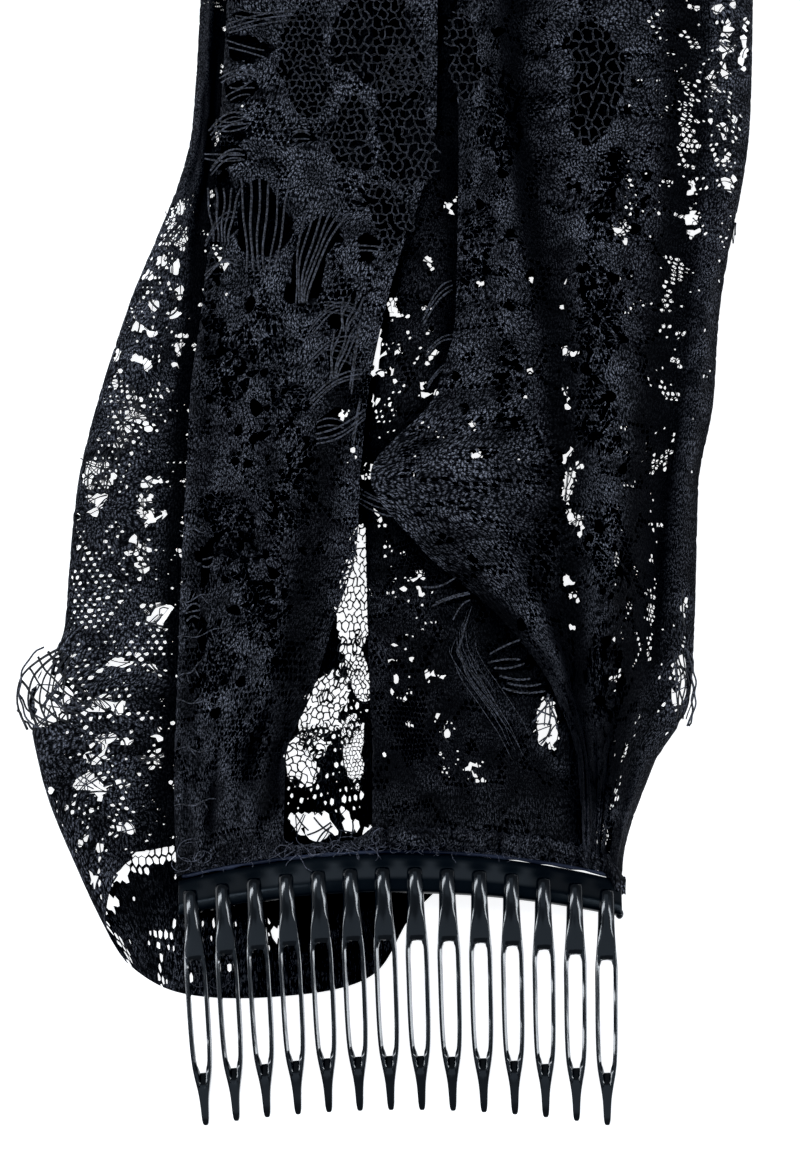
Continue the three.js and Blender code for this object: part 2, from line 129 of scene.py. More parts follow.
# The x of each visible fold and outline, at these distances along the veil
STATIONS = [-20, 0, 20, 34, 48, 62, 76, 92, 110, 150, 190]
FOLDS = {
    "flap_edge": [-47.5, -57.7, -65.7, -68.2, -62.1, -61.4, -60.3, -57.1, -52.1, -40, -38.5],
    "left_fold": [-40.5, -40.5, -41.2, -40.9, -40.7, -40.4, -39.9, -39.4, -37.5, -34.5, -33],
    "left_roll": [-20.8, -20.8, -20.6, -16.0, -12.0, -8.0, -7.4, -6, -2.7, 7, 7.4],
    "pleat_left": [-5, -5, -5, -5.6, -6, -6.4, -6.8, -5, -3, 1, 1],
    "pleat_right": [35, 35, 35.4, 38, 39.5, 40, 40.5, 41, 41.5, 44, 45],
    "centre_roll": [33, 33, 32.2, 28.2, 18.7, 3.6, -5.5, 6.5, 10.6, 11.2, 11],
    "inner_valley": [34.6, 34.6, 34.6, 32.8, 31.7, 31.2, 30.7, 30, 28.6, 24.5, 23.3],
    "column_right": [36.4, 36.4, 38.6, 41.7, 43.7, 44.3, 44.5, 45.1, 45.6, 48.3, 49.9],
    "far_left": [37.8, 37.8, 41.2, 45.1, 46.9, 48.2, 50, 52.6, 54.3, 57.9, 59.2],
    "right_edge": [40.2, 40.2, 45.9, 53.3, 54.5, 55.2, 55.9, 59, 60.6, 67.5, 69.3],
}


@dataclass(frozen=True)
class FoldLine:
    """One fold line of the sheet, as a mix of two of the folds above plus a shift.

    level is its height, relief is added to it where the folds have opened, slack is how far small
    wrinkles lift it, start is where a line that doesn't come from the comb begins, and lift is the
    height above the comb's arch of one that does.
    """

    name: str
    near: str
    far: str
    mix: float
    shift: float
    level: float
    relief: float = 0.0
    slack: float = 0.15
    lift: float | None = None
    start: float | None = None


LINES = [
    FoldLine("left_roll_edge", "left_roll", "left_roll", 0, 0, TOP_LAYER, 0.4, 0.5, lift=1.9),
    FoldLine("left_panel_inner", "left_roll", "left_fold", 0.33, 0, TOP_LAYER, 1.9, 1.0, lift=2.3),
    FoldLine("left_panel_outer", "left_roll", "left_fold", 0.7, 0, TOP_LAYER, 1.2, 1.0, lift=2.1),
    FoldLine("left_fold_top", "left_fold", "left_fold", 0, TURN, TOP_LAYER, 0.5, 0.5, lift=1.9),
    FoldLine("left_fold", "left_fold", "left_fold", 0, 0, LAYER_3 + 1, lift=0.8),
    FoldLine("left_fold_under", "left_fold", "left_fold", 0, TURN, LAYER_3, lift=-0.3),
    FoldLine("tuck_upper", "left_roll", "left_fold", TUCK_SHARE, -TURN, LAYER_3, lift=0.2),
    FoldLine("tuck", "left_roll", "left_fold", TUCK_SHARE, 0, HALF_23, lift=-0.7),
    FoldLine("tuck_lower", "left_roll", "left_fold", TUCK_SHARE, -TURN, LAYER_2, lift=-1.7),
    FoldLine("flap_root", "left_fold", "left_fold", 0, -0.8, LAYER_2, slack=0.4, start=6),
    FoldLine("flap_middle", "flap_edge", "left_fold", 0.45, 0, LAYER_2, 0.4, 0.8, start=2),
    FoldLine("flap_top", "flap_edge", "flap_edge", 0, TURN, LAYER_2, slack=0.4, start=-7),
    FoldLine("flap_edge", "flap_edge", "flap_edge", 0, 0, HALF_12, slack=0.2, start=-12),
    FoldLine("flap_under", "flap_edge", "flap_edge", 0, TURN, LAYER_1, start=-16),
    FoldLine("floor_left", "left_fold", "left_fold", 0, 0, LAYER_1, start=-20.5),
    FoldLine("floor_middle", "left_fold", "pleat_left", 0.5, 0, LAYER_1, start=-21.5),
    FoldLine("floor_gap", "pleat_left", "pleat_left", 0, 0, LAYER_1, start=-17.5),
    FoldLine("floor_gap_right", "pleat_left", "pleat_right", 0.2, 0, LAYER_1, start=-5.5),
    FoldLine("floor_pleat", "pleat_left", "pleat_right", 0.55, 0, LAYER_1, lift=-2.5),
    FoldLine("pleat_right_low", "pleat_right", "pleat_right", 0, -TURN, LAYER_1, lift=-2.5),
    FoldLine("pleat_right", "pleat_right", "pleat_right", 0, 0, HALF_12, lift=-1.7),
    FoldLine("pleat_right_high", "pleat_right", "pleat_right", 0, -TURN, LAYER_2, lift=-0.9),
    FoldLine("pleat_middle", "pleat_left", "pleat_right", 0.55, 0, LAYER_2, lift=-0.9),
    FoldLine("pleat_left_low", "pleat_left", "pleat_left", 0, TURN, LAYER_2, lift=-0.9),
    FoldLine("pleat_left", "pleat_left", "pleat_left", 0, 0, HALF_23, lift=-0.1),
    FoldLine("pleat_left_high", "pleat_left", "pleat_left", 0, TURN, LAYER_3, 0, 0.3, lift=0.7),
    FoldLine("pleat_top", "pleat_left", "pleat_right", 0.55, 0, LAYER_3, 0.2, 0.3, lift=0.7),
    FoldLine("pleat_top_right", "pleat_right", "pleat_right", 0, 0, LAYER_3, lift=0.7),
    FoldLine("floor_right", "pleat_right", "right_edge", 0.45, 0, LAYER_1, lift=-0.8),
    FoldLine("right_fold_under", "right_edge", "right_edge", 0, -0.9, LAYER_1, lift=-0.6),
    FoldLine("right_fold", "right_edge", "right_edge", 0, 0, LAYER_1 + 1, lift=0.6),
    FoldLine("right_fold_top", "right_edge", "right_edge", 0, -0.9, LAYER_1 + 2.1, lift=2.1),
    FoldLine("far_right_panel", "right_edge", "far_left", 0.55, 0, LAYER_3, 0.6, 0.6, lift=2.4),
    FoldLine("far_right_valley", "far_left", "far_left", 0, 0, LAYER_3 + 1, -2.2, 0.3, lift=2.4),
    FoldLine("column_side", "column_right", "column_right", 0, -0.6, TOP_LAYER, 1, 0.5, lift=2.4),
    FoldLine("column", "column_right", "inner_valley", 0.5, 0, TOP_LAYER, 3.2, 0.9, lift=2.6),
    FoldLine("inner_valley", "inner_valley", "inner_valley", 0, 0, TOP_LAYER, 0.1, 0.4, lift=2.4),
    FoldLine("ridge", "inner_valley", "centre_roll", 0.5, 0, TOP_LAYER, 3.4, 0.9, lift=2.5),
    FoldLine("centre_roll", "centre_roll", "centre_roll", 0, 0, TOP_LAYER, 0.3, 0.5, lift=2.3),
]


def bow(x: np.ndarray | float) -> np.ndarray | float:
    """Gives the height share of the comb's arch, 1 in the middle and 0 at its ends."""
    return 1 - (x / (COMB_WIDTH / 2)) ** 2


def arch_y(x: np.ndarray | float) -> np.ndarray | float:
    """Gives the y of the spine's centre line."""
    return SPINE_END_Y + SPINE_RISE_Y * bow(x)


def arch_z(x: np.ndarray | float) -> np.ndarray | float:
    """Gives the z of the spine's centre line."""
    return SPINE_END_Z + SPINE_RISE_Z * bow(x)


def spine_back_y(x: np.ndarray | float) -> np.ndarray | float:
    """Gives the y of the spine's back edge, where the lace is glued."""
    return arch_y(x) + SPINE_HEIGHT / 2


def smooth(value: np.ndarray | float, low: float, high: float) -> np.ndarray:
    """Gives a smooth step.

    Args:
        value: Where to read the step.
        low: Where it is still 0.
        high: Where it has reached 1.

    Returns:
        Values from 0 to 1.
    """
    share = np.clip((np.asarray(value, float) - low) / (high - low), 0, 1)
    return share * share * (3 - 2 * share)


def along(values: list[float], place: np.ndarray) -> np.ndarray:
    """Reads values at the stations with a smooth curve that never overshoots them.

    Args:
        values: One value for each station.
        place: Distances along the veil.

    Returns:
        The values at those distances.
    """
    stations = np.array(STATIONS, float)
    known = np.array(values, float)
    slopes = np.diff(known) / np.diff(stations)
    before, after = slopes[:-1], slopes[1:]
    total = np.where(before + after == 0, 1, before + after)
    inner = np.where(before * after <= 0, 0, 2 * before * after / total)
    tangents = np.concatenate([slopes[:1], inner, slopes[-1:]])
    clamped = np.clip(place, stations[0], stations[-1])
    i = np.clip(np.searchsorted(stations, clamped, side="left") - 1, 0, len(stations) - 2)
    width = stations[i + 1] - stations[i]
    t = (clamped - stations[i]) / width
    rise = known[i + 1] - known[i]
    a, b = tangents[i] * width, tangents[i + 1] * width
    return known[i] + a * t + (3 * rise - 2 * a - b) * t**2 + (a + b - 2 * rise) * t**3


class ValueNoise:
    """Smooth seeded noise over a plane, from -1 to 1."""

    def __init__(self, seed: int, cells: int = 128) -> None:
        """Draws the lattice of values that the noise passes through."""
        self.cells = cells
        self.table = np.random.default_rng(seed).uniform(-1, 1, (cells, cells))

    def at(self, x: np.ndarray, y: np.ndarray) -> np.ndarray:
        """Reads the noise.

        Args:
            x: Places across, in lattice steps.
            y: Places along, in lattice steps.

        Returns:
            A value for each place.
        """
        column, row = np.floor(x).astype(int), np.floor(y).astype(int)
        across, up = x - column, y - row
        across, up = across**2 * (3 - 2 * across), up**2 * (3 - 2 * up)
        c0, c1 = column % self.cells, (column + 1) % self.cells
        r0, r1 = row % self.cells, (row + 1) % self.cells
        low = self.table[r0, c0] * (1 - across) + self.table[r0, c1] * across
        high = self.table[r1, c0] * (1 - across) + self.table[r1, c1] * across
        return low * (1 - up) + high * up


@dataclass(frozen=True)
class Layout:
    """Where the comb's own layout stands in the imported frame."""

    shift_x: float
    shift_y: float

    @classmethod
    def from_frame(cls) -> "Layout":
        """Reads the place from the comb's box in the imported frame."""
        low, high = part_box("comb")
        return cls((low.x + high.x) / 2 / MM, high.y / MM - spine_back_y(0.0))

    def metres(self, points: np.ndarray) -> np.ndarray:
        """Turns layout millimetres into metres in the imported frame."""
        return (np.asarray(points, float) + np.array([self.shift_x, self.shift_y, 0])) * MM

    def place(self, x: float, y: float, z: float) -> Vector:
        """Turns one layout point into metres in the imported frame."""
        return Vector(self.metres(np.array([x, y, z])))


@dataclass(frozen=True)
class Viewpoint:
    """The camera's place above the veil, in layout millimetres."""

    elevation: float = 72.0
    distance: float = 750.0
    target: tuple[float, float, float] = (0.0, 56.0, 4.0)
    lens: float = 125.46
    sensor: float = 36.0

    def forward(self) -> np.ndarray:
        """Gives the direction that the camera looks in."""
        angle = math.radians(self.elevation)
        return np.array([0.0, math.cos(angle), -math.sin(angle)])

    def eye(self) -> np.ndarray:
        """Gives the camera's place."""
        return np.array(self.target) - self.forward() * self.distance

    def onto_plan(self, points: np.ndarray) -> np.ndarray:
        """Slides points along their lines of sight onto the level of the target.

        Args:
            points: Layout points, one a row.

        Returns:
            Their x and y on that level, one a row. Layers that hide each other share them.
        """
        eye = self.eye()
        reach = (self.target[2] - eye[2]) / (points[:, 2] - eye[2])
        return (eye + (points - eye) * reach[:, None])[:, :2]


class Drape:
    """The folded sheet as a smooth surface over its own flat width and length."""

    def __init__(self, rows: int = 231, step: float = 0.6) -> None:
        """Samples the surface.

        Args:
            rows: Number of samples along the veil.
            step: Distance between samples across it, in millimetres.
        """
        self.rows = rows
        places = self._line_places(np.linspace(0, 1, rows))
        self.grid, starts = self._across(places, step)
        steps = np.linalg.norm(np.diff(self.grid, axis=1), axis=2).mean(axis=0)
        self.flat_u = np.concatenate([[0], np.cumsum(steps)])
        self.line_u = {line.name: self.flat_u[c] for line, c in zip(LINES, starts)}
        lengths = np.linalg.norm(np.diff(self.grid, axis=0), axis=2).sum(axis=0)
        self.width = float(self.flat_u[-1])
        self.length = float(np.median(lengths))
        self._wrinkle(starts)
        across = np.gradient(self.grid, axis=1)
        down = np.gradient(self.grid, axis=0)
        normals = np.cross(across, down)
        self.normals = normals / np.linalg.norm(normals, axis=2, keepdims=True)
        near, wide = smooth(self._depth(3), *NEAR_SHADE), smooth(self._depth(8), *WIDE_SHADE)
        self.shade = np.maximum(near, 0.75 * wide)
        self._darken()

    @staticmethod
    def _line_places(share: np.ndarray) -> np.ndarray:
        """Places every fold line.

        Args:
            share: Shares of the way from the comb to the free end.

        Returns:
            Points by share and line.
        """
        lead = np.clip(1 - share / LEAD_SHARE, 0, None) ** 2
        places = np.zeros((len(share), len(LINES), 3))
        for k, line in enumerate(LINES):

            def fold_x(y: np.ndarray, line: FoldLine = line) -> np.ndarray:
                """Gives the x of the line at distances along the veil."""
                near, far = along(FOLDS[line.near], y), along(FOLDS[line.far], y)
                return near + (far - near) * line.mix + line.shift

            start_x = float(fold_x(np.array(COMMON_START)))
            glued = line.lift is not None
            start_y = spine_back_y(start_x) + 0.7 if glued else line.start
            start_z = arch_z(start_x) + line.lift if glued else line.level
            y = COMMON_START + (FREE_END - COMMON_START) * share + (start_y - COMMON_START) * lead
            settled = smooth(y, COMMON_START - 1, SETTLED_AT)
            opened = smooth(y, *FOLDS_OPEN)
            z = start_z + (line.level - start_z) * settled + line.relief * opened
            if glued:
                pinched = 1 - smooth(y, start_y, start_y + 5)
                z = z + (arch_z(start_x) + 0.35 * line.lift - z) * pinched
            places[:, k] = np.stack([fold_x(y), y, z], axis=1)
        return places

    @staticmethod
    def _across(places: np.ndarray, step: float) -> tuple[np.ndarray, list[int]]:
        """Runs a smooth curve through the fold lines of each row.

        Args:
            places: Points by row and line.
            step: Distance between samples.

        Returns:
            Points by row and sample, and the sample at which each line lies.
        """
        first = 2 * places[:, :1] - places[:, 1:2]
        last = 2 * places[:, -1:] - places[:, -2:-1]
        p = np.concatenate([first, places, last], axis=1)
        gaps = np.maximum(np.sqrt(np.linalg.norm(np.diff(p, axis=1), axis=2)), 1e-3)[..., None]
        pieces, starts, count = [], [], 0
        for k in range(places.shape[1] - 1):
            x0, x1, x2, x3 = (p[:, k + j] for j in range(4))
            d0, d1, d2 = (gaps[:, k + j] for j in range(3))
            t1 = ((x1 - x0) / d0 - (x2 - x0) / (d0 + d1) + (x2 - x1) / d1) * d1
            t2 = ((x2 - x1) / d1 - (x3 - x1) / (d1 + d2) + (x3 - x2) / d2) * d1
            samples = max(3, int(round(float(np.linalg.norm(x2 - x1, axis=1).mean()) / step)))
            t = (np.arange(samples) / samples)[None, :, None]
            x1, x2, t1, t2 = (a[:, None, :] for a in (x1, x2, t1, t2))
            cubic = x1 + t1 * t + (3 * (x2 - x1) - 2 * t1 - t2) * t**2 + (2 * (x1 - x2) + t1 + t2) * t**3
            pieces.append(cubic)
            starts.append(count)
            count += samples
        pieces.append(places[:, -1:])
        starts.append(count)
        grid = np.concatenate(pieces, axis=1)
        grid[..., 2] = np.maximum(grid[..., 2], LAYER_1)
        return grid, starts

    def _wrinkle(self, starts: list[int]) -> None:
        """Lifts the sheet into small folds, with tight gathers where the comb holds it.

        Args:
            starts: The column of the grid at which each fold line stands.
        """
        columns = np.arange(self.grid.shape[1])
        slack = np.interp(columns, starts, [line.slack for line in LINES])[None, :]
        glued = np.interp(columns, starts, [float(line.lift is not None) for line in LINES])[None, :]
        u = np.broadcast_to(self.flat_u[None, :], self.grid.shape[:2])
        v = np.linspace(0, self.length, self.rows)[:, None] * np.ones_like(u)
        drift, crease, crumple = ValueNoise(11), ValueNoise(12), ValueNoise(13)
        sway = 3.0 * drift.at(u / 40, v / 55)
        long_folds = crease.at((u + sway) / 4.2, v / 46)
        small = 0.45 * crumple.at(u / 3.1, v / 4.7) + 0.3 * crumple.at(u / 1.4 + 9, v / 2.2)
        near_comb = np.exp(-((v / 20) ** 2)) * smooth(v, 0.5, 5)
        gathers = 1.3 * crease.at((u + sway) / 2.6 + 40, v / 24) + 0.5 * crumple.at(u / 1.7 + 60, v / 9)
        raised = slack * (1.1 * long_folds + 0.35 * small)
        raised = raised * smooth(v, 2, 14) + glued * slack * gathers * near_comb
        self.grid[..., 2] = np.maximum(self.grid[..., 2] + raised, 0.35)

    def _darken(self) -> None:
        """Deepens the shade in the creases and towards the comb, and lifts it on the ridges."""
        x, y = self.grid[..., 0], self.grid[..., 1]
        shade = self.shade[..., 0]
        patch = ValueNoise(14).at(self.flat_u[None, :] / 5 + 0 * x, y / 16)
        low = np.interp(y, [-20, 5, 30, 60, 90, 125, 190], [0.42, 0.5, 0.42, 0.36, 0.2, 0.1, 0.1])
        shade = 1 - (1 - shade) * (1 - np.clip(low + 0.6 * low * patch + 0.12 * patch, 0, 0.95))
        for first, last, strength, half, places in CREASE_SHADE:
            column = (self.flat_u >= self.line_u[first]) & (self.flat_u <= self.line_u[last])
            xs, ys = np.array(places[::-1]).T if places[0][1] > places[-1][1] else np.array(places).T
            near = np.exp(-(((x - np.interp(y, ys, xs)) / half) ** 4)) * column[None, :]
            near = near * smooth(y, ys[0] - 4, ys[0] + 2) * (1 - smooth(y, ys[-1] - 2, ys[-1] + 4))
            deeper, lighter = 1 - (1 - shade) * (1 - strength * near), shade * (1 + strength * near)
            shade = np.where(near * strength > 0, deeper, lighter)
        first, last = Panel.PLEAT_TOP.value
        column = (self.flat_u >= self.line_u[first]) & (self.flat_u <= self.line_u[last])
        for pool_x, pool_y, half_width, half_height in POOLS:
            away = np.hypot((x - pool_x + 0.8 * patch) / half_width, (y - pool_y) / half_height)
            shade = 1 - (1 - shade) * (1 - 0.92 * np.exp(-(away**4)) * column[None, :])
        self.shade = shade[..., None]

    def _depth(self, reach: int, step: float = 0.8) -> np.ndarray:
        """Gives how far each sample lies below the lace round it, as folds and upper layers shade it.

        Args:
            reach: How many squares the surroundings reach.
            step: Size of the plan's squares, in millimetres.

        Returns:
            Depths in millimetres, by row and sample.
        """
        low = self.grid[..., :2].min(axis=(0, 1)) - 2 * reach * step
        column, row = (((self.grid[..., k] - low[k]) / step).astype(int) for k in (0, 1))
        highest = np.zeros((row.max() + 2 * reach + 2, column.max() + 2 * reach + 2))
        np.maximum.at(highest, (row.reshape(-1), column.reshape(-1)), self.grid[..., 2].reshape(-1))
        for axis in (0, 1):
            highest = np.max([np.roll(highest, k, axis) for k in range(-reach, reach + 1)], axis=0)
        for axis in (0, 1, 0, 1):
            highest = np.mean([np.roll(highest, k, axis) for k in range(-reach, reach + 1)], axis=0)
        return (highest[row, column] - self.grid[..., 2])[..., None]

    def shades(self, u: np.ndarray, v: np.ndarray) -> np.ndarray:
        """Gives how deep in shade the lace at flat places lies, from 0 to 1."""
        return self._read(self.shade, u, v)[:, 0]

    def _read(self, table: np.ndarray, u: np.ndarray, v: np.ndarray) -> np.ndarray:
        """Reads a table over the surface at flat places.

        Args:
            table: The values at the points of the grid.
            u: Flat places across the sheet.
            v: Flat places along the sheet.

        Returns:
            The values there.
        """
        column = np.interp(np.clip(u, 0, self.width), self.flat_u, np.arange(len(self.flat_u)))
        row = np.clip(v / self.length, 0, 1) * (self.rows - 1)
        c = np.minimum(column.astype(int), table.shape[1] - 2)
        r = np.minimum(row.astype(int), table.shape[0] - 2)
        a, b = (column - c)[:, None], (row - r)[:, None]
        low = table[r, c] * (1 - a) + table[r, c + 1] * a
        high = table[r + 1, c] * (1 - a) + table[r + 1, c + 1] * a
        return low * (1 - b) + high * b

    def points(self, u: np.ndarray, v: np.ndarray) -> np.ndarray:
        """Gives the layout points at flat places."""
        return self._read(self.grid, u, v)

    def upward(self, u: np.ndarray, v: np.ndarray) -> np.ndarray:
        """Gives the normals at flat places, on the side that is turned up, fading out round the folds."""
        normals = self._read(self.normals, u, v)
        return normals * np.clip(3 * normals[:, 2:], -1, 1)


class Panel(Enum):
    """A stretch of the sheet between two of its fold lines."""

    LEFT = ("left_roll_edge", "left_fold")
    LEFT_UNDER = ("left_fold", "tuck")
    TUCKED = ("tuck", "flap_root")
    FLAP = ("flap_root", "flap_edge")
    FLAP_UNDER = ("flap_edge", "floor_left")
    FLOOR_LEFT = ("floor_left", "floor_middle")
    GAP = ("floor_middle", "floor_gap_right")
    FLOOR_RIGHT = ("floor_gap_right", "pleat_right")
    PLEAT = ("pleat_right", "pleat_left")
    PLEAT_TOP = ("pleat_left", "pleat_top_right")
    FAR_UNDER = ("pleat_top_right", "right_fold")
    FAR_RIGHT = ("right_fold", "far_right_valley")
    COLUMN = ("far_right_valley", "inner_valley")
    DIAGONAL = ("inner_valley", "centre_roll")


class Cell(Enum):
    """What one cell of the lace is, with the share of it that is open."""

    CLOSED = 0.0
    PIN = 0.36
    SMALL = 0.6
    NET = 0.78
    VOID = 1.0


@dataclass(frozen=True)
class Opening:
    """An oval place where the lace is open, on the plan: its middle and half sizes."""

    x: float
    y: float
    half_width: float
    half_height: float
    cell: Cell = Cell.VOID
    turn: float = 0.0

    def reach(self, plan: np.ndarray, grow: float = 0.0) -> np.ndarray:
        """Gives how far places are from the middle, where 1 is the rim.

        Args:
            plan: Places on the plan, one a row.
            grow: How much larger the opening is taken to be, in millimetres.

        Returns:
            One value for each place.
        """
        angle = math.radians(self.turn)
        dx, dy = plan[:, 0] - self.x, plan[:, 1] - self.y
        across = dx * math.cos(angle) + dy * math.sin(angle)
        up = dy * math.cos(angle) - dx * math.sin(angle)
        share = np.hypot(across / (self.half_width + grow), up / (self.half_height + grow))
        way = np.arctan2(up, across)
        lobes = 0.13 * np.sin(2 * way + 7 * self.x) + 0.12 * np.sin(3 * way + 5 * self.y)
        return share * (1 + lobes + 0.07 * np.sin(5 * way + 3 * self.x))


def charted(*rows: tuple) -> list[Opening]:
    """Makes openings from rows of x, y, half width and height and, where they differ, cell and turn."""
    return [Opening(*row) for row in rows]


V, N, S, P = Cell.VOID, Cell.NET, Cell.SMALL, Cell.PIN

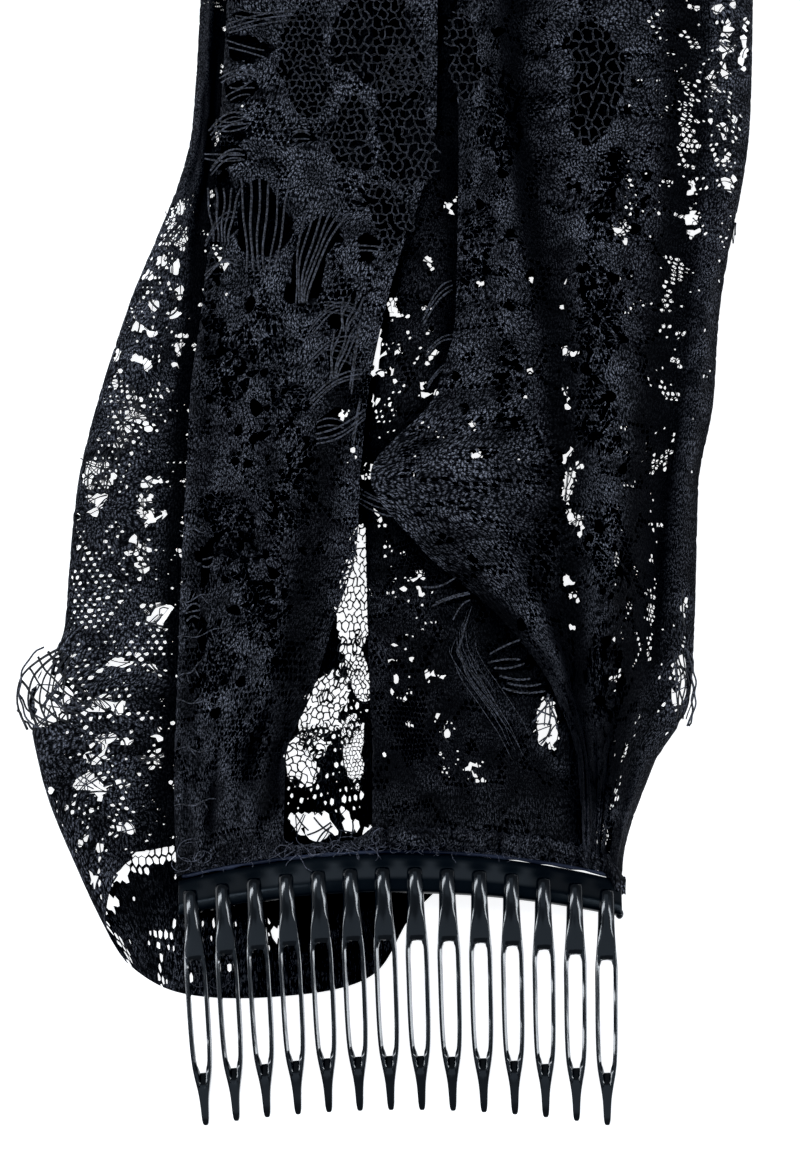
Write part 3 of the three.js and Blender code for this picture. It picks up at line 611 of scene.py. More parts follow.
# Where the table shows through every layer: the opening's own panel, and then its places
THROUGH = {
    Panel.FLAP: charted(
        (-64, 36.4, 2.4, 6.0), (-61.8, 33, 2.6, 2.4), (-58.4, 31.6, 2.4, 1.2), (-65, 30, 2, 2),
        (-43.9, 128.7, 1, 1.3, N), (-42.1, 131, 1.1, 0.7, N), (-42, 124.8, 1.7, 1.8, N),
        (-44.7, 124.4, 0.8, 1.4, S), (-47.8, 120.8, 0.8, 0.5, N), (-42.7, 118.5, 0.9, 1.3),
        (-45, 120, 0.6, 0.9, N), (-47.7, 116.9, 0.8, 0.9, N), (-41.9, 113.4, 0.9, 1.2),
        (-46.6, 111, 1.2, 1, V, -25), (-51.7, 110.2, 0.45, 0.7), (-42.6, 109.1, 0.85, 0.9),
        (-49.7, 106.7, 0.75, 0.85), (-46.9, 105.1, 0.85, 0.7), (-41.7, 103.6, 0.85, 1.8, N),
        (-49.9, 100.4, 0.7, 0.7), (-47.6, 98.9, 0.8, 1.2), (-53.4, 100.8, 0.55, 1.1),
        (-42.5, 98.9, 0.55, 0.55), (-52.9, 95.7, 0.8, 1.5, N), (-50.1, 91.8, 2.1, 2.2, S),
        (-44.7, 93.8, 1.8, 0.8, S), (-50.4, 88, 2.8, 2.8, N), (-56.3, 78, 2.9, 2.6, N),
        (-47, 75.4, 1.2, 1.2), (-44.6, 75.7, 0.45, 0.5), (-47.3, 72.2, 1.5, 1.1, N),
        (-46.9, 69.5, 1.1, 1.1, N), (-46.2, 67.9, 0.9, 0.5), (-43.7, 69.3, 0.45, 0.5),
        (-49.3, 64.2, 0.9, 0.8), (-47.9, 61.8, 1.4, 1.3, N), (-47.6, 58.7, 1.1, 1),
        (-45.1, 50.7, 1.5, 1.1, N), (-45.1, 48.4, 1.4, 1.1), (-44.5, 46.1, 0.9, 0.9),
        (-42.2, 50.9, 0.45, 0.5), (-52, 40.3, 1.6, 0.8), (-48.2, 41.1, 0.8, 1.1), (-45.8, 39.3, 1.1, 0.8),
        (-58.7, 32.8, 2.3, 1.2), (-54.2, 33, 1.8, 1.3), (-51.6, 31.5, 1.2, 1.1), (-53.6, 25.8, 2, 0.9),
        (-50.1, 25.2, 0.9, 0.7), (-61.1, 26.9, 1.1, 0.9, N), (-56.6, 22.6, 1.1, 0.7),
        (-54, 22.3, 0.9, 0.7), (-45.2, 22.3, 1.8, 1.4, N), (-57.1, 17.6, 2.3, 1.4),
        (-54.6, 15.7, 1.3, 0.9), (-50.5, 17.6, 0.9, 0.9), (-43.9, 25.8, 0.7, 0.7),
        (-57.5, 75.3, 1.1, 1.3, N), (-54.9, 75.5, 0.9, 1.3, N), (-56.6, 72.2, 1.6, 1, N),
        (-56.8, 69.5, 0.7, 1.1), (-52.6, 81.7, 0.8, 1.2, S), (-51.3, 84.5, 1.5, 1.5, N),
        (-58.6, 62.4, 0.9, 1.4, S), (-60.6, 68, 0.7, 1, N), (-49.5, 9, 1.6, 1), (-63.5, 16, 0.6, 0.6),
        (-54.3, 5.2, 0.8, 1, V, 20), (-50.3, 0.6, 1, 0.5), (-47, 0.8, 0.9, 0.5), (-43.8, 1.2, 0.7, 0.5),
        (-47, 4.4, 0.7, 0.5), (-44.5, -7.5, 1.3, 1, N), (-48.5, -13, 0.6, 0.6), (-55, -0.5, 0.6, 0.7),
        (-59.8, 12.6, 0.8, 0.8, S), (-55.6, 11.8, 1, 0.8, S), (-57.2, 7, 0.7, 0.8, N),
        (-52, -5, 0.6, 0.6, N),
    ),
    Panel.LEFT: charted(
        (-34.1, 121.6, 0.8, 1.2, N), (-33, 119.2, 0.4, 0.6), (-33.2, 113, 0.4, 0.8, S),
        (-10.1, 89, 0.28, 0.9), (-8.6, 81.3, 0.6, 0.8, N), (-30.4, 152, 0.4, 0.3, S),
    ),
    Panel.FLOOR_LEFT: charted(
        (-34, -10, 0.5, 0.5, S), (-22.5, -10.5, 0.5, 0.6, S), (-31, -16.5, 0.5, 0.5, S),
        (-37, -14.4, 0.6, 0.7, S), (-17.6, -12.6, 0.6, 0.7, N), (-36.4, -18.4, 1.2, 0.5, S),
        (-13.4, -10.6, 0.5, 0.5, S), (-25.4, -16, 0.5, 0.5, S),
    ),
    Panel.GAP: charted(
        (-9.6, 30, 4.2, 4.6, P), (-14.5, 14.6, 7, 3, P), (-12.6, 22, 2.4, 5, P),
        (-18.2, 9.6, 1.7, 2, V, -24), (-14.6, 8.6, 2.2, 2.4), (-9.6, 8.8, 1.5, 1.6),
        (-6.6, 7.8, 1.8, 1.2, V, -20),
    ),
    Panel.PLEAT_TOP: charted(
        (9, 131, 0.4, 0.8), (10.4, 132.2, 0.4, 0.6), (9.6, 129.8, 0.25, 0.3), (5.3, 120, 0.9, 0.9, N),
        (-1.5, 110.4, 0.28, 0.3), (-1.3, 111.6, 0.22, 0.5, V, -25), (-1.5, 109.1, 0.24, 0.5),
        (-0.2, 108.7, 0.48, 0.85), (1.3, 108.3, 0.38, 0.6), (1.5, 105.9, 0.5, 0.5, S),
        (4.9, 110.2, 0.2, 0.4, V, -20), (5.9, 105.5, 0.2, 0.6, V, -35), (4.7, 105.1, 0.4, 0.4, S),
        (-4.3, 104.2, 0.3, 1, V, -20), (-3.8, 102.6, 0.26, 1.2, V, -20), (-2.9, 101.4, 0.24, 1, V, -15),
        (-4, 100.2, 0.3, 0.8, V, -10), (-4.9, 102.2, 0.2, 0.7), (-6, 99.4, 0.45, 1.9),
        (-5, 99.6, 0.2, 0.5), (-3.6, 97.3, 0.6, 0.9, V, 25), (-1.1, 97.7, 0.2, 0.3),
        (-0.9, 95.5, 0.4, 0.7, V, 15), (-0.2, 101.6, 0.28, 0.5), (3.4, 102, 0.5, 0.9),
        (3.2, 100, 0.2, 0.6), (6.2, 100.8, 0.7, 1.2, N), (5.1, 98.9, 0.4, 0.9), (3.8, 94.9, 0.5, 0.5),
        (4.4, 92.9, 0.5, 0.9), (6.8, 93.2, 0.46, 0.8), (-4.3, 91.3, 0.4, 0.6),
        (-3.9, 88.6, 0.28, 0.9, V, -20), (-3.2, 88.4, 0.2, 0.6, V, -25), (4.9, 88.6, 0.5, 0.9),
        (4.3, 87.8, 0.3, 0.8), (3.4, 86.9, 0.3, 0.3), (7.3, 89.4, 0.25, 0.4), (6.2, 85.5, 1.2, 1.4, S),
        (2.6, 80.5, 0.5, 1.2, N), (6.4, 81.1, 0.8, 0.8, N), (5.2, 80.3, 0.3, 0.8), (-5.6, 79.3, 0.4, 0.4),
        (-5.8, 76.8, 0.2, 1), (-5.1, 77.2, 0.25, 0.6), (3, 77.2, 0.4, 0.8, S), (-1.3, 74.6, 0.5, 0.5),
        (2.8, 75.2, 0.3, 0.6), (-4.4, 69.1, 0.3, 0.4), (-3.7, 68.1, 0.3, 0.8), (0.7, 54.6, 0.65, 0.6),
        (2.2, 56.1, 0.4, 0.4), (3.7, 56.9, 0.45, 0.6), (4.1, 53.2, 0.5, 0.6), (3.3, 54.8, 0.3, 0.4),
        (-0.9, 43.4, 0.6, 0.65), (-1.3, 40.7, 0.2, 0.5), (2, 40.9, 0.3, 0.6), (-0.7, 37.2, 0.5, 0.85),
        (-1.5, 34.9, 0.3, 0.4), (4.8, 38, 0.3, 0.3), (5.9, 38.4, 0.5, 0.5), (7.7, 37.4, 0.4, 0.5, V, -30),
        (1.6, 28.4, 0.2, 0.7), (7.1, 30.5, 0.3, 0.3), (8.6, 26.7, 0.6, 1), (-2.9, 22.7, 0.4, 0.5),
        (12.1, 20.1, 0.3, 0.6), (12.8, 20.6, 0.35, 0.8, V, -10), (14.1, 20.8, 0.3, 0.6),
        (13.5, 18.6, 0.2, 0.5, V, -40), (15, 17.8, 0.4, 0.3), (26.7, 31.4, 1.4, 2.9, V, -30),
        (26.4, 27.2, 1.3, 2.6, V, 8), (27.9, 28, 0.7, 4),
    ),
    Panel.DIAGONAL: charted(
        (13.6, 86.7, 0.4, 0.4), (14.2, 80.7, 0.5, 0.6, N), (24.6, 98.1, 0.25, 0.4),
        (23.8, 92.4, 0.25, 0.35), (25, 116, 0.2, 0.6), (15.3, 115.3, 0.3, 0.3), (22.2, 80, 0.4, 1, S),
    ),
    Panel.COLUMN: charted(
        (31.2, 116.1, 0.43, 0.9), (30.7, 110.6, 0.33, 0.65), (31.1, 101.4, 0.43, 1.2),
        (32.7, 101.2, 0.7, 0.6), (30.9, 93.4, 0.36, 1.4, N), (31.4, 90.4, 0.6, 0.6), (31.9, 81.5, 0.6, 1),
        (30.8, 80, 0.4, 0.8), (33.1, 78.9, 0.8, 1.1, N), (31.8, 75.1, 1, 2.9, N), (31.7, 68.7, 0.7, 0.7),
        (33.1, 67.1, 0.9, 1.8, N), (31, 56.3, 0.4, 0.9), (31.9, 55.5, 0.3, 0.3),
        (32.2, 52.8, 0.7, 0.7, N), (30.6, 53, 0.3, 0.5), (32.1, 47, 0.3, 0.5), (41.5, 126.3, 0.9, 0.6),
        (42.9, 123.8, 0.5, 0.6),
    ),
    Panel.FAR_RIGHT: charted(
        (61.6, 172.8, 1.1, 1.2), (63, 170.2, 1.15, 0.45), (63.2, 168.2, 1.15, 0.85),
        (63, 164.6, 1.45, 1.35), (62, 161, 1.15, 0.6), (62.7, 158.8, 0.8, 0.95), (59.7, 158.8, 0.6, 1, N),
        (60.3, 155.8, 1.1, 1.1, N), (64.5, 173.8, 0.6, 1), (66.9, 169.6, 0.8, 1.3),
        (66.5, 166.3, 0.7, 0.95), (66.7, 163.6, 0.7, 0.9), (65.8, 161.9, 0.7, 0.7), (66.2, 160, 0.5, 0.6),
        (61.9, 147.5, 0.85, 1.3), (59.7, 149, 0.5, 0.8), (62.2, 143.6, 1, 0.7), (62.4, 142, 1, 0.6),
        (62.2, 140.3, 0.9, 0.75), (64.2, 149.4, 0.6, 0.95), (62.1, 136.4, 0.75, 0.85),
        (63.8, 136.8, 0.6, 0.8), (62.4, 134.4, 1.3, 0.6, N), (65.3, 133.4, 0.3, 1),
        (64.8, 145, 0.5, 1, S), (57.8, 137.6, 0.6, 0.6, N), (56, 134.5, 0.6, 0.8),
        (55.6, 128.4, 0.8, 1.2, N), (55.8, 125.7, 0.5, 0.5), (63.7, 125.3, 1.1, 1.9, S),
        (61, 178, 1.1, 1.2, N), (65.6, 179, 0.8, 1.4, N), (60.6, 116.4, 0.5, 1, S),
        (51.2, 37, 1.3, 5, V, -8), (52.8, 28.6, 0.7, 1.2, N), (50, 24, 1, 1.2, S),
        (47.6, 19, 0.6, 1.4, S), (52.6, 51, 0.6, 2.6, N), (52.4, 44.6, 0.6, 1.4, S),
    ),
}

# Where only the uppermost layer is open, so that the dark of the layers below shows
DARK = {
    Panel.LEFT: charted(
        (-34.6, 131, 3.4, 6), (-26.2, 128, 4.6, 8.6), (-16.8, 121, 3.4, 8.2, V, -14),
        (-11.2, 110, 3, 3.4), (-11.4, 101, 2.4, 4.6), (-13, 87, 2.4, 2.8), (-29.8, 164.2, 3.4, 3.2),
        (-30.8, 155.4, 2.6, 1.9), (-32.3, 148.4, 3.2, 2.2), (-33.6, 141.6, 3.6, 2.6),
        (-28.6, 171.6, 4.4, 1, V, 8), (-6, 122.7, 2.8, 2.6), (-36.6, 172, 1.2, 2.2), (-19, 146, 1.6, 2.2),
        (-32, 62, 1.1, 1), (-28.6, 57, 1, 0.9), (-25.4, 60.6, 0.9, 0.9), (-30.6, 50.4, 1.2, 1),
        (-34.6, 45, 1, 0.9), (-26, 44.4, 0.9, 0.9), (-29.2, 36.6, 1, 1.1), (-33.8, 30.6, 1.1, 1),
        (-25.2, 30, 0.9, 1), (-22.4, 67, 0.9, 1), (-18, 62, 0.8, 0.9), (-35.6, 72, 1, 1.1),
        (-31, 79.4, 0.9, 1), (-26.6, 84.6, 0.9, 0.9), (-22, 93.6, 0.8, 0.9), (-28, 97, 0.8, 0.8),
        (-36, 92, 0.9, 1), (-17, 74.6, 0.8, 0.8), (-28.3, 111, 0.9, 1.9), (-34.2, 118.5, 0.8, 1),
        (-29, 106.7, 0.8, 1), (-30.7, 101.2, 0.9, 0.9), (-25.6, 97.3, 0.8, 0.9), (-22.4, 103.6, 1.1, 1.1),
        (-27, 90.2, 1.1, 1.9), (-23.4, 91.4, 0.8, 1.1), (-30.2, 85.6, 0.9, 1.1), (-27.3, 84.1, 0.8, 1.3),
        (-32, 89, 0.7, 0.8), (-28.4, 79.2, 1, 1), (-19, 85.6, 0.6, 0.9), (-20.6, 113, 1.5, 1.9),
        (-26.6, 47.5, 1.4, 1.9), (-23.4, 57.5, 1, 1.3), (-32.3, 56.4, 0.8, 0.9), (-28.9, 60.2, 0.9, 0.9),
        (-38.2, 50, 1.2, 3.2), (-23, 40.2, 1, 1.2), (-36.9, 61.3, 1.2, 1.9), (-24.9, 61.3, 0.8, 0.9),
        (-29.1, 55.3, 0.7, 0.8), (-25.5, 51.9, 0.7, 0.7), (-33, 98, 3.6, 8, N, 8),
        (-19.4, 74, 4.2, 8.4, N, -12), (-31.4, 66, 4.6, 9, N, 6), (-24.6, 50, 4, 7.4, N, 18),
        (-34.4, 40, 3.4, 9, N), (-27.4, 26, 4, 7.4, N), (-26.4, 104.4, 4.4, 6, N), (-36.4, 116, 2, 10, N),
        (-22, 90, 3.4, 6.4, N, -8), (-35.6, 60, 0.9, 4.4, V, -8), (-36.4, 46, 0.8, 3.4, V, 4),
        (-8, 134, 2.4, 3.4, N),
    ),
    Panel.DIAGONAL: charted(
        (20.6, 95, 2.6, 10, N), (14.8, 124, 3, 9, N), (26, 58, 2.4, 8, N, -14), (19.6, 150, 3.4, 12, N),
        (13.6, 60.6, 1.1, 1), (22.4, 47.6, 0.8, 1.4), (19, 168, 1.1, 1), (17.4, 158.6, 1, 1),
        (21.4, 150, 1, 1.1), (15.6, 146, 0.9, 0.9), (19.6, 138, 1, 1.1), (15.4, 131.6, 1, 1),
        (21, 125.4, 1, 1.2), (16.4, 118, 1.1, 1), (20.6, 110.8, 1, 1), (24.6, 117, 0.9, 1.2),
        (12, 90, 1, 1.2), (10.6, 96.6, 0.8, 1.2),
    ),
    Panel.COLUMN: charted(
        (41, 133, 5, 10, N), (38, 108, 4.6, 9, N), (36.8, 88, 3.8, 8, N), (38.6, 62, 3.6, 9, N),
        (37.6, 38, 3.2, 9, N), (33, 166, 1.3, 1.2), (39.6, 161, 1.2, 1.1), (44, 150.6, 1.1, 1.2),
        (35.6, 148.6, 1.3, 1.2), (41, 141, 1.2, 1.2), (47.2, 137.6, 1, 1.4), (33.6, 134.6, 1.2, 1.1),
        (38.4, 128.4, 1.5, 1.3), (44.6, 126.6, 1.1, 1.4), (34.6, 118.6, 1.2, 1.2),
        (40.4, 116.6, 1.3, 1.1), (37, 108, 1.1, 1.1), (42, 104, 1, 1), (35, 98, 1.1, 1.3),
        (39.6, 92.6, 1, 1.1), (36.4, 84.6, 1.1, 1), (41.6, 78, 0.9, 1), (37, 66.6, 1, 1.2),
        (40.6, 58, 0.9, 1), (38, 44.4, 1, 1), (36.6, 33, 0.9, 1.2),
    ),
}


@dataclass(frozen=True)
class ThreadNet:
    """A patch of open net of bare threads, inside an uneven oval on the plan."""

    panel: Panel
    x: float
    y: float
    half_width: float
    half_height: float
    pitch_x: float
    pitch_y: float
    radius: float = 0.19
    turn: float = 0.0
    unevenness: float = 0.15
    broken: float = 0.06

    def place(self) -> Opening:
        """Gives the clear place that the net fills."""
        return Opening(self.x, self.y, self.half_width, self.half_height, Cell.VOID, self.turn)

    def threads(self, rng: np.random.Generator) -> list[np.ndarray]:
        """Gives the plan places along each thread, from knot to knot of an uneven honeycomb.

        Args:
            rng: The source of random numbers.

        Returns:
            The places along each thread.
        """
        angle = math.radians(self.turn)
        turn = np.array([[math.cos(angle), math.sin(angle)], [-math.sin(angle), math.cos(angle)]])
        pitch = np.array([self.pitch_x, self.pitch_y])
        halves = (self.half_width, self.half_height)
        columns, rows = (int(1.3 * half / step) + 3 for half, step in zip(halves, pitch))
        j, i = np.meshgrid(np.arange(-rows, rows + 1), np.arange(-columns, columns + 1), indexing="ij")
        middles = np.stack([i + 0.5 * (j % 2), j], axis=-1) * pitch
        upper, lower = (
            (middles + [0, side * self.pitch_y * 2 / 3]
             + rng.normal(0, self.unevenness, middles.shape) * pitch) @ turn + [self.x, self.y]
            for side in (1, -1))
        starts, ends = [], []
        for r in range(1, len(middles) - 2):
            odd = int(j[r, 0] % 2)
            for row, shift in ((r + 2, 0), (r + 1, odd - 1), (r + 1, odd)):
                starts.append(upper[r, 2:-2])
                ends.append(lower[row, 2 + shift:upper.shape[1] - 2 + shift])
        start, end = np.concatenate(starts), np.concatenate(ends)
        kept = (self.place().reach((start + end) / 2) < 1.1) & (rng.uniform(size=len(start)) > self.broken)
        share = np.linspace(0, 1, 4)[:, None]
        bend = np.sin(np.pi * share)
        found = []
        for a, b in zip(start[kept], end[kept]):
            aside = np.array([a[1] - b[1], b[0] - a[0]]) * rng.uniform(-0.2, 0.2)
            found.append(a * (1 - share) + b * share + bend * aside)
        return found


# Open nets that the table shows through
THREAD_NETS = [
    ThreadNet(Panel.GAP, -8.2, 51.5, 3.2, 16.5, 1.05, 1.45, 0.13, -5),
    ThreadNet(Panel.GAP, -14.6, 31.6, 3.4, 8.4, 1.1, 1.35, 0.14, -22),
    ThreadNet(Panel.GAP, -17.6, 22.0, 4.0, 4.6, 1.3, 1.3, 0.14, 10),
    ThreadNet(Panel.GAP, -8.6, 24.6, 1.9, 6.2, 0.65, 0.75, 0.09, 6),
    ThreadNet(Panel.GAP, -7.2, 36.6, 1.7, 4.2, 0.8, 0.9, 0.11),
]

# Open nets that show the dark of the layers below
DARK_NETS = [
    ThreadNet(Panel.LEFT, -4.4, 166.0, 9.2, 9.6, 1.7, 1.9, 0.09),
    ThreadNet(Panel.LEFT, 1.0, 147.0, 5.2, 12.0, 1.6, 1.8, 0.09),
    ThreadNet(Panel.LEFT, -18.8, 161.0, 4.6, 10.6, 1.3, 1.4, 0.08),
    ThreadNet(Panel.LEFT, -9.6, 146.0, 4.2, 6.4, 1.5, 1.6, 0.09),
    ThreadNet(Panel.LEFT, -1.8, 129.0, 3.8, 6.4, 1.5, 1.7, 0.09),
    ThreadNet(Panel.COLUMN, 38.0, 158.0, 5.4, 11.0, 1.9, 2.3, 0.09),
    ThreadNet(Panel.DIAGONAL, 12.6, 162.0, 3.0, 9.0, 1.6, 1.9, 0.09),
]


@dataclass(frozen=True)
class SpeckField:
    """A field of tiny clear places, strewn over an oval on the plan."""

    panel: Panel
    x: float
    y: float
    half_width: float
    half_height: float
    count: int
    widths: tuple[float, float] = (0.2, 0.42)
    heights: tuple[float, float] = (0.25, 0.75)

    def places(self, rng: np.random.Generator) -> list[Opening]:
        """Strews the clear places.

        Args:
            rng: The source of random numbers.

        Returns:
            The clear places.
        """
        found = []
        for _ in range(self.count):
            angle, out = rng.uniform(0, 2 * math.pi), math.sqrt(rng.uniform())
            x = self.x + self.half_width * out * math.cos(angle)
            y = self.y + self.half_height * out * math.sin(angle)
            half_width, half_height = rng.uniform(*self.widths), rng.uniform(*self.heights)
            found.append(Opening(x, y, half_width, half_height, Cell.VOID, rng.uniform(-20, 20)))
        return found


SPECK_FIELDS = [
    SpeckField(Panel.PLEAT_TOP, 1.5, 92, 7, 18, 26, (0.1, 0.2), (0.15, 0.4)),
    SpeckField(Panel.PLEAT_TOP, -3, 88, 2, 9, 14, (0.1, 0.2), (0.2, 0.4)),
    SpeckField(Panel.PLEAT_TOP, -2.6, 63, 1.4, 2, 9, (0.15, 0.3)),
    SpeckField(Panel.PLEAT_TOP, 2, 56, 5, 12, 16, (0.1, 0.2)),
    SpeckField(Panel.PLEAT_TOP, 9.5, 24, 2, 5, 10, (0.1, 0.2)),
    SpeckField(Panel.PLEAT_TOP, 2, 36, 6, 10, 8, (0.1, 0.2)),
    SpeckField(Panel.FLAP, -57.8, 54, 3.6, 7, 80, (0.1, 0.25)),
    SpeckField(Panel.FLAP, -44, 45, 3, 3.4, 24, (0.1, 0.25)),
    SpeckField(Panel.FLAP, -51, 55, 6, 14, 60, (0.1, 0.25)),
    SpeckField(Panel.FLAP, -54, 84, 5, 12, 50, (0.1, 0.25)),
    SpeckField(Panel.FLAP, -50, 30, 9, 14, 70, (0.1, 0.28)),
    SpeckField(Panel.FLAP, -53, 6, 8, 14, 40, (0.1, 0.25)),
    SpeckField(Panel.FLAP, -46, 110, 4, 18, 50, (0.1, 0.28)),
    SpeckField(Panel.FLAP, -60, 38, 4, 10, 30, (0.1, 0.28)),
    SpeckField(Panel.FLOOR_LEFT, -24, -12, 14, 5, 34, (0.1, 0.25)),
    SpeckField(Panel.FAR_RIGHT, 62, 152, 4, 20, 60, (0.1, 0.28)),
    SpeckField(Panel.FAR_RIGHT, 56, 132, 2.6, 8, 22, (0.1, 0.25)),
    SpeckField(Panel.FAR_RIGHT, 63, 122, 2, 8, 26, (0.1, 0.2)),
    SpeckField(Panel.FAR_RIGHT, 50, 34, 3, 14, 24, (0.1, 0.25)),
    SpeckField(Panel.FAR_RIGHT, 56, 100, 3, 30, 14, (0.1, 0.2)),
]


def net_places(nets: list[ThreadNet]) -> dict[Panel, list[Opening]]:
    """Lists the clear places that nets fill, by panel.

    Args:
        nets: The nets.

    Returns:
        One opening for each net, by panel.
    """
    found: dict[Panel, list[Opening]] = {}
    for net in nets:
        found.setdefault(net.panel, []).append(net.place())
    return found


def speck_places() -> dict[Panel, list[Opening]]:
    """Lists the tiny clear places of all fields, by panel.

    Returns:
        The clear places, by panel.
    """
    rng = np.random.default_rng(61)
    found: dict[Panel, list[Opening]] = {}
    for area in SPECK_FIELDS:
        found.setdefault(area.panel, []).extend(area.places(rng))
    return found


@dataclass
class LacePattern:
    """The lace's own pattern over the flat sheet: flowers and leaves on a net ground."""

    width: float
    length: float
    spacing: float = 19.0
    seed: int = 5
    flowers: np.ndarray = field(init=False)

    def __post_init__(self) -> None:
        """Scatters the flowers over the sheet, each with its size, turn and number of petals."""
        rng = np.random.default_rng(self.seed)
        rows = []
        for j in range(int(self.length / self.spacing) + 2):
            for i in range(int(self.width / self.spacing) + 2):
                shift = self.spacing / 2 if j % 2 else 0
                dx, dy = rng.uniform(-2.6, 2.6, 2)
                size, turn = rng.uniform(6.4, 8.8), rng.uniform(0, 2 * math.pi)
                petals = rng.integers(5, 9)
                rows.append((i * self.spacing + shift + dx, j * self.spacing + dy, size, turn, petals))
        self.flowers = np.array(rows)

    def cells(self, u: np.ndarray, v: np.ndarray, openness: np.ndarray) -> np.ndarray:
        """Chooses what each cell is.

        Args:
            u: Flat places across.
            v: Flat places along.
            openness: How much of each place's lace is net, from 0 to 1.

        Returns:
            The open share of each cell.
        """
        rng = np.random.default_rng(self.seed + 1)
        ground, fine = ValueNoise(21), ValueNoise(22)
        chance = rng.uniform(0, 1, u.shape)
        field_value = 0.5 + 0.5 * ground.at(u / 8, v / 9) + 0.2 * fine.at(u / 2.7, v / 2.9)
        state = np.where(field_value < openness, Cell.NET.value, Cell.CLOSED.value)
        state = np.where((field_value >= openness) & (field_value < openness + 0.12), Cell.SMALL.value, state)
        for x, y, size, turn, petals in self.flowers:
            near = np.flatnonzero((np.abs(u - x) < size * 1.2) & (np.abs(v - y) < size * 1.2))
            if not len(near):
                continue
            dx, dy = u[near] - x, v[near] - y
            angle, radius = np.arctan2(dy, dx) + turn, np.hypot(dx, dy)
            rim = size * (0.74 + 0.26 * np.abs(np.cos(petals * angle / 2)))
            share = radius / rim
            vein = np.abs(np.sin(petals * angle / 2)) < 0.16
            value = np.full(len(near), Cell.CLOSED.value)
            value[(share > 0.88) & (share < 1.1)] = Cell.SMALL.value
            value[(share > 0.36) & (share < 0.8) & vein & (chance[near] < 0.7)] = Cell.PIN.value
            value[share < 0.16] = Cell.NET.value
            inside = share < 1.1
            state[near[inside]] = value[inside]
        pins = (state == Cell.CLOSED.value) & (chance < 0.05 + 0.12 * openness)
        state[pins] = Cell.PIN.value
        return state


